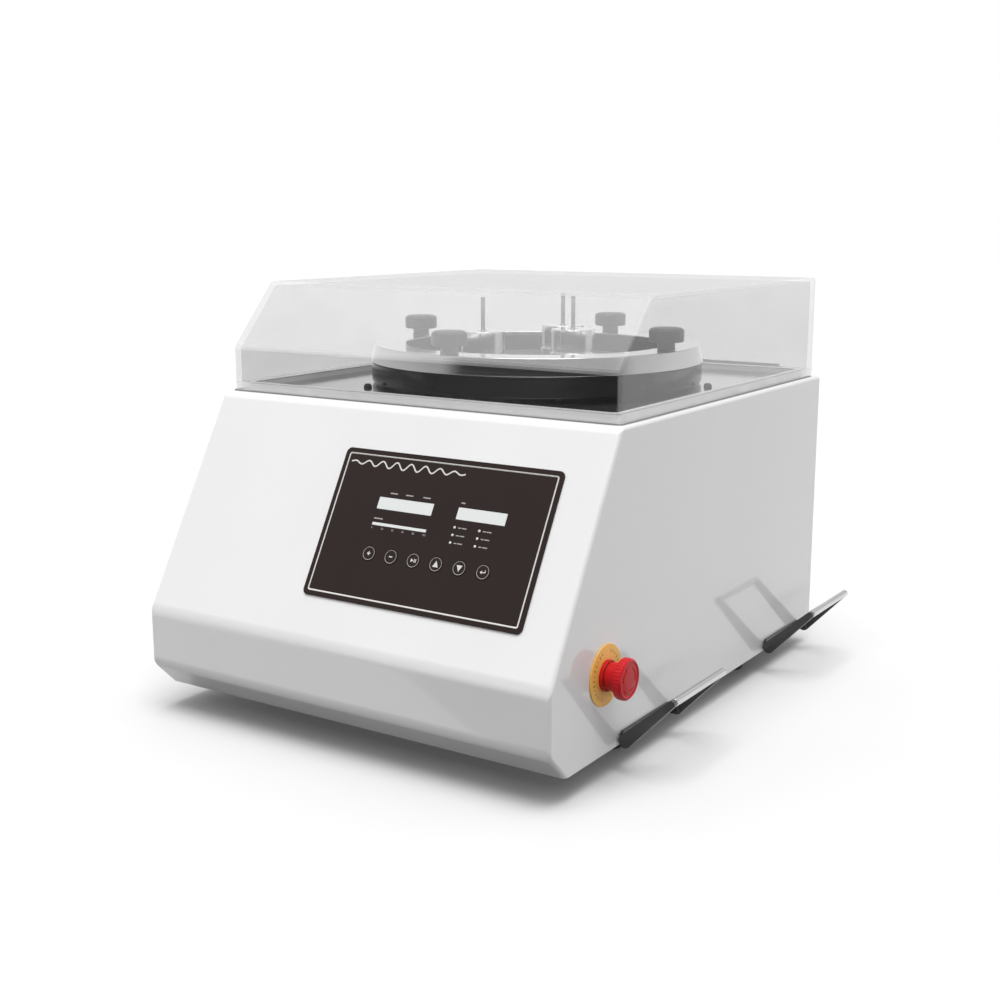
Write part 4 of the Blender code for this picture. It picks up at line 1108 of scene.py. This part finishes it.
def make_cover_gap_shadow(low, high):
    """A dark grey strip on the cabinet round the foot of the cover, open at the hinge: a painted shadow of
    the gap under the cover.
    """
    middle = at((low.x + high.x) / 2, (low.y + high.y) / 2, low.z)
    width, depth = high.x - low.x, high.y - low.y
    # painted shadow: a dark strip where the gap under the cover shades the cabinet
    lip = solid("cover_gap_shadow", slab(width + 4.6 * MM, depth + 4.6 * MM, 6 * MM, -MM, 0.9 * MM), middle)
    cut(lip, slab(width + 0.6 * MM, depth + 0.6 * MM, 4 * MM, -3 * MM, 3 * MM))
    start = (low.x - 9 * MM, high.y - 9 * MM, low.z - 5 * MM)
    end = (high.x + 9 * MM, high.y + 9 * MM, low.z + 5 * MM)
    cut(lip, block(start, end), Matrix.Identity(4))
    piece(soften(lip, 0.3 * MM, 2), "gap_shadow_grey", "cabinet")


def make_hinge():
    axis = pivot_of("cover_hinge")
    low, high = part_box("hinge_base")
    pitch = (high.x - low.x) / 5  # the length of one knuckle
    turn = basis(axis, (0, 1, 0), (1, 0, 0))
    for name, first, body, bore in (("hinge_base", 0, "cabinet", False), ("hinge_leaf", 1, "cover", True)):
        low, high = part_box(name)
        thick = 2.0 * MM
        top = high.z if bore else axis.z - 4.5 * MM
        leaf = solid(f"{name}_plate", block((low.x, low.y, low.z), (high.x, low.y + thick, top)))
        for k in range(first, 5, 2):
            start = -pitch * 2.5 + k * pitch + GAP
            end = start + pitch - 2 * GAP
            knuckle = rod(4.5 * MM, start, end, 32)
            cut(leaf, knuckle, turn, "UNION")
            start, end = start + 0.1 * MM, end - 0.1 * MM
            if bore:
                web = block((start, low.y + thick / 2, low.z + 0.1 * MM), (end, axis.y, low.z + thick))
            else:
                web = block((start, low.y + 0.1 * MM, axis.z - 5.5 * MM), (end, low.y + thick, axis.z))
            cut(leaf, web, None, "UNION")
        if bore:
            cut(leaf, rod(2.4 * MM, -pitch * 3, pitch * 3, 32), turn)
        else:
            cut(leaf, rod(2.0 * MM, -pitch * 2.5 + MM, pitch * 2.5 - MM, 32), turn, "UNION")
        piece(soften(leaf, 0.35 * MM, 2, 50), "rim_steel" if bore else "plated_steel", body, name)
        z = high.z - 3.6 * MM if bore else low.z + 9 * MM
        spots = [(low.x + (high.x - low.x) * (k + 0.5) / 6, low.y + thick, z) for k in range(6)]
        screws(f"{name}_screw", spots, (0, 1, 0), body, 2.4 * MM if bore else 3.0 * MM, 1.4 * MM)


# ---------------------------------------------------------------- handles

def make_handles():
    for number in range(1, 5):
        pivot = pivot_of(f"handle_fold_{number}")
        side = 1 if pivot.x > 0 else -1
        grip = centre_of(f"handle_grip_{number}")
        along = Vector((grip.x - pivot.x, 0, grip.z - pivot.z))
        length = along.length
        across = Vector((0, 1, 0))
        place = basis(pivot, along, across)
        body = f"handle_{number}"
        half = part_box(f"handle_bail_{number}")[1].y - pivot.y
        inside = half - 6.0 * MM
        outline = arc((0, 0), 7 * MM, 90, 270, 20) + arc((length, 0), 3.8 * MM, -90, 90, 16)
        bail = solid(f"bail_{number}", prism(outline, inside, half), place)
        cut(bail, prism(outline, -half, -inside), place, "UNION")
        core = rod(2.6 * MM, -inside - MM, inside + MM, 24, (length, 0))
        cut(bail, core, place, "UNION")
        blind = half - 1.2 * MM
        cut(bail, rod(3.4 * MM, -blind, blind, 32), place)
        piece(soften(bail, 2.4 * MM, 5, 50), "handle_coat", body, f"handle_bail_{number}")
        tube = inside - GAP
        far = half + 0.6 * MM
        profile = (
            (0, -tube), (3.7 * MM, -tube, 0.4 * MM), (4 * MM, -tube + 2.2 * MM, 0.6 * MM),
            (4 * MM, far - 1.6 * MM, 0.8 * MM), (3 * MM, far, 0.8 * MM), (0, far),
        )
        end = place @ at(length, 0, 0)
        lathe(f"grip_{number}", profile, end, "grip_steel", body, f"handle_grip_{number}", steps=64)
        make_bracket(number, pivot, side, inside)


def make_bracket(number, pivot, side, inside):
    low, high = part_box(f"handle_bracket_{number}")
    wall = low.x if side > 0 else high.x
    out = 2.5 * MM * side
    ear_out = inside - GAP
    ear_in = ear_out - 4 * MM
    first, last = sorted((wall, wall + out))
    strip = block((first, pivot.y - ear_in - MM, low.z), (last, pivot.y + ear_in + MM, high.z))
    bracket = solid(f"bracket_{number}", strip)
    reach = abs(pivot.x - wall)
    place = basis(pivot, (side, 0, 0), (0, side, 0))
    ear = arc((0, 0), 5 * MM, -90, 90, 16) + [(-reach, 5 * MM), (-reach, -5 * MM)]
    for way in (-1, 1):
        start, end = sorted((way * ear_in, way * ear_out))
        cut(bracket, prism(ear, start, end), place, "UNION")
        start, end = sorted((way * (ear_in + MM), way * (inside + 4.4 * MM)))
        cut(bracket, rod(3.0 * MM, start, end, 32), place, "UNION")
    piece(soften(bracket, 0.6 * MM, 2, 50), "black_coat", "cabinet", f"handle_bracket_{number}")
    spots = [(wall + out, pivot.y + dy * MM, pivot.z) for dy in (-30, 0, 30)]
    screws(f"bracket_{number}_screw", spots, (side, 0, 0), "cabinet", 3.4 * MM, 1.7 * MM)


# ---------------------------------------------------------------- back

def back_place(x, y, z):
    """A place on the cabinet's back, its local z pointing outwards."""
    return basis((x, y, z), (-1, 0, 0), (0, 1, 0))


def make_back():
    low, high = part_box("rear_panel")
    centre = (low + high) / 2
    inlet_low, inlet_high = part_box("power_inlet")
    width = high.x - low.x
    tall = high.z - low.z
    place = back_place(centre.x, low.y, centre.z)
    plate = solid("back_plate", slab(width, tall, 5 * MM, 0, high.y - low.y), place)
    for row in range(8):
        z = CABINET_LOW.z + (92.5 + 16 * row) * MM
        slot = arc((67.5 * MM, 0), 2.5 * MM, -90, 90) + arc((-67.5 * MM, 0), 2.5 * MM, 90, 270)
        cut(plate, prism(slot, -MM, 4 * MM), back_place(110 * MM, low.y, z))
    spot = Vector(((inlet_low.x + inlet_high.x) / 2, low.y, (inlet_low.z + inlet_high.z) / 2))
    cut(plate, slab(26 * MM, 54 * MM, MM, -MM, 4 * MM), back_place(*spot))
    piece(soften(plate, 0.4 * MM, 2), "white_paint", "cabinet", "rear_panel")
    margin = 7 * MM
    spots = []
    for k in range(4):
        x = low.x + margin + (width - 2 * margin) * k / 3
        spots += [(x, high.y, low.z + margin), (x, high.y, high.z - margin)]
    spots += [(low.x + margin, high.y, centre.z), (high.x - margin, high.y, centre.z)]
    screws("back_screw", spots, (0, 1, 0), "cabinet", 3.2 * MM, 1.8 * MM)
    make_inlet(inlet_low, inlet_high)


def make_inlet(low, high):
    centre = (low + high) / 2
    face = high.y
    place = back_place(centre.x, face - 3 * MM, centre.z)
    inlet = solid("inlet_case", slab(32 * MM, 60 * MM, 3 * MM, 0, 3 * MM), place)
    body = slab(25 * MM, 53 * MM, MM, -28 * MM, MM)
    cut(inlet, body, place, "UNION")
    socket = mm(
        (-11.5, -24, 1.5), (11.5, -24, 1.5), (11.5, -12, 1), (7.5, -8, 1), (-7.5, -8, 1), (-11.5, -12, 1)
    )
    cut(inlet, prism(filleted(socket, closed=True), -18 * MM, 4 * MM), place)
    cut(inlet, slab(20 * MM, 20 * MM, 0.8 * MM, -12 * MM, 4 * MM, (0, 14 * MM)), place)
    piece(soften(inlet, 0.4 * MM, 2), "black_plastic", "cabinet", "power_inlet")
    for k, (x, y) in enumerate(((-7, -17), (0, -14), (7, -17))):
        shape = slab(2 * MM, 4 * MM, 0.3 * MM, -18.5 * MM, -4 * MM)
        blade = solid(f"inlet_blade_{k + 1}", shape, place @ at(x * MM, y * MM, 0))
        piece(soften(blade, 0.3 * MM, 2), "plated_steel", "cabinet")
    make_rocker()


def make_rocker():
    rest = Matrix.Rotation(math.radians(-10), 4, "X")
    place = Matrix.Translation(pivot_of("power_rocker_tilt")) @ rest @ basis((0, 0, 0), (0, 1, 0), (1, 0, 0))
    side = mm((-7, -8, 0.5), (4.5, -8, 0.8), (3.2, 0, 3), (4.5, 8, 0.8), (-7, 8, 0.5))
    rocker = solid("rocker", prism(filleted(side, closed=True), -9.5 * MM, 9.5 * MM), place)
    piece(soften(rocker, 0.4 * MM, 2, 50), "black_plastic", "power_rocker", "power_rocker")


def finish_inside():
    """The pieces inside the cabinet keep their CAD shape and get full materials."""
    finishes = {
        "cast_iron": ("counter_base", "drive_plate", "armature", "electromagnet_core"),
        "copper": ("electromagnet_coil",),
        "rubber": ("isolator_ring",),
        "spring_steel": ("leaf_spring_1", "leaf_spring_2", "leaf_spring_3"),
        "black_plastic": ("drive_controller",),
    }
    for finish, nodes in finishes.items():
        for node in nodes:
            paint(frame["nodes"][node], finish)


# ---------------------------------------------------------------- studio

def soft_sun(name, towards, strength, spread):
    """Even light from one direction, as from a far, wide softbox."""
    data = bpy.data.lights.new(name, "SUN")
    data.energy = strength
    data.angle = math.radians(spread)
    lamp = added(name, data)
    lamp.rotation_euler = Vector(towards).to_track_quat("-Z", "Y").to_euler()


def make_surroundings():
    """White walls behind and beside, dim ones on the camera's side, which the bright metal mirrors."""
    world = bpy.data.worlds.new("studio")
    world.use_nodes = True
    graph = Graph(world)
    direction = graph.node("ShaderNodeTexCoord").outputs["Generated"]
    split = graph.node("ShaderNodeSeparateXYZ", {"Vector": direction})
    inputs = {0: direction, 1: (*TOWARDS_CAMERA, 0.0)}
    facing = graph.node("ShaderNodeVectorMath", inputs, operation="DOT_PRODUCT")
    height = graph.maths("MULTIPLY_ADD", split.outputs["Z"], 0.5, 0.5)
    below = ((0.0, 0.10), (0.455, 0.10))
    far = graph.ramp(height, *below, (0.475, 1.0), (0.575, 1.0), (0.65, 0.7), (0.8, 0.85), (1.0, 1.0))
    near = graph.ramp(height, *below, (0.475, 1.8), (0.57, 1.8), (0.61, 0.05), (0.76, 0.05), (0.86, 1.0))
    side = graph.ramp(facing.outputs["Value"], (0.3, 0.0), (0.6, 1.0))
    graph.link(graph.mix(side, far, near), graph.tree.nodes["Background"].inputs["Color"])
    bpy.context.scene.world = world


def make_studio():
    pale = grained("studio_floor", (0.68, 0.68, 0.68), 0.8, 60.0, 0.0001, vary=0.005)
    turn = Matrix.Rotation(math.atan2(TOWARDS_CAMERA[1], TOWARDS_CAMERA[0]), 4, "Z")
    halves = (("floor_near", -FLOOR_SPLIT, FLOOR_SPLIT), ("floor_far", FLOOR_SPLIT, 360 - FLOOR_SPLIT))
    for name, start, end in halves:
        bm = bmesh.new()
        bm.faces.new([bm.verts.new((a, b, 0)) for a, b in arc((0, 0), FLOOR_RADIUS, start, end, 64)])
        floor = solid(name, bm, turn)
        floor.data.materials.append(pale)
        floor.visible_diffuse = False
        floor.visible_glossy = name == "floor_far"
    make_surroundings()
    soft_sun("key_light", (-0.09, 0.14, -0.98), 2.3, 40)
    bpy.context.scene.view_settings.view_transform = "Standard"


def make_camera():
    """A 50 mm view from the front right, a little above the cover."""
    data = bpy.data.cameras.new("camera")
    data.lens = 50.0
    data.sensor_width = 36.0
    data.clip_end = 50.0
    camera = added("camera", data)
    camera.location = (0.8476, CABINET_LOW.y - 0.9911, CABINET_LOW.z + 0.5000)
    camera.rotation_euler = Euler((math.radians(90 - 11.589), 0, math.radians(33.267)))
    bpy.context.scene.camera = camera


make_camera()
make_studio()
make_cabinet()
make_panel()
make_stop()
make_deck()
make_bowl()
make_knobs()
make_weights()
make_cover()
make_hinge()
make_handles()
make_back()
finish_inside()
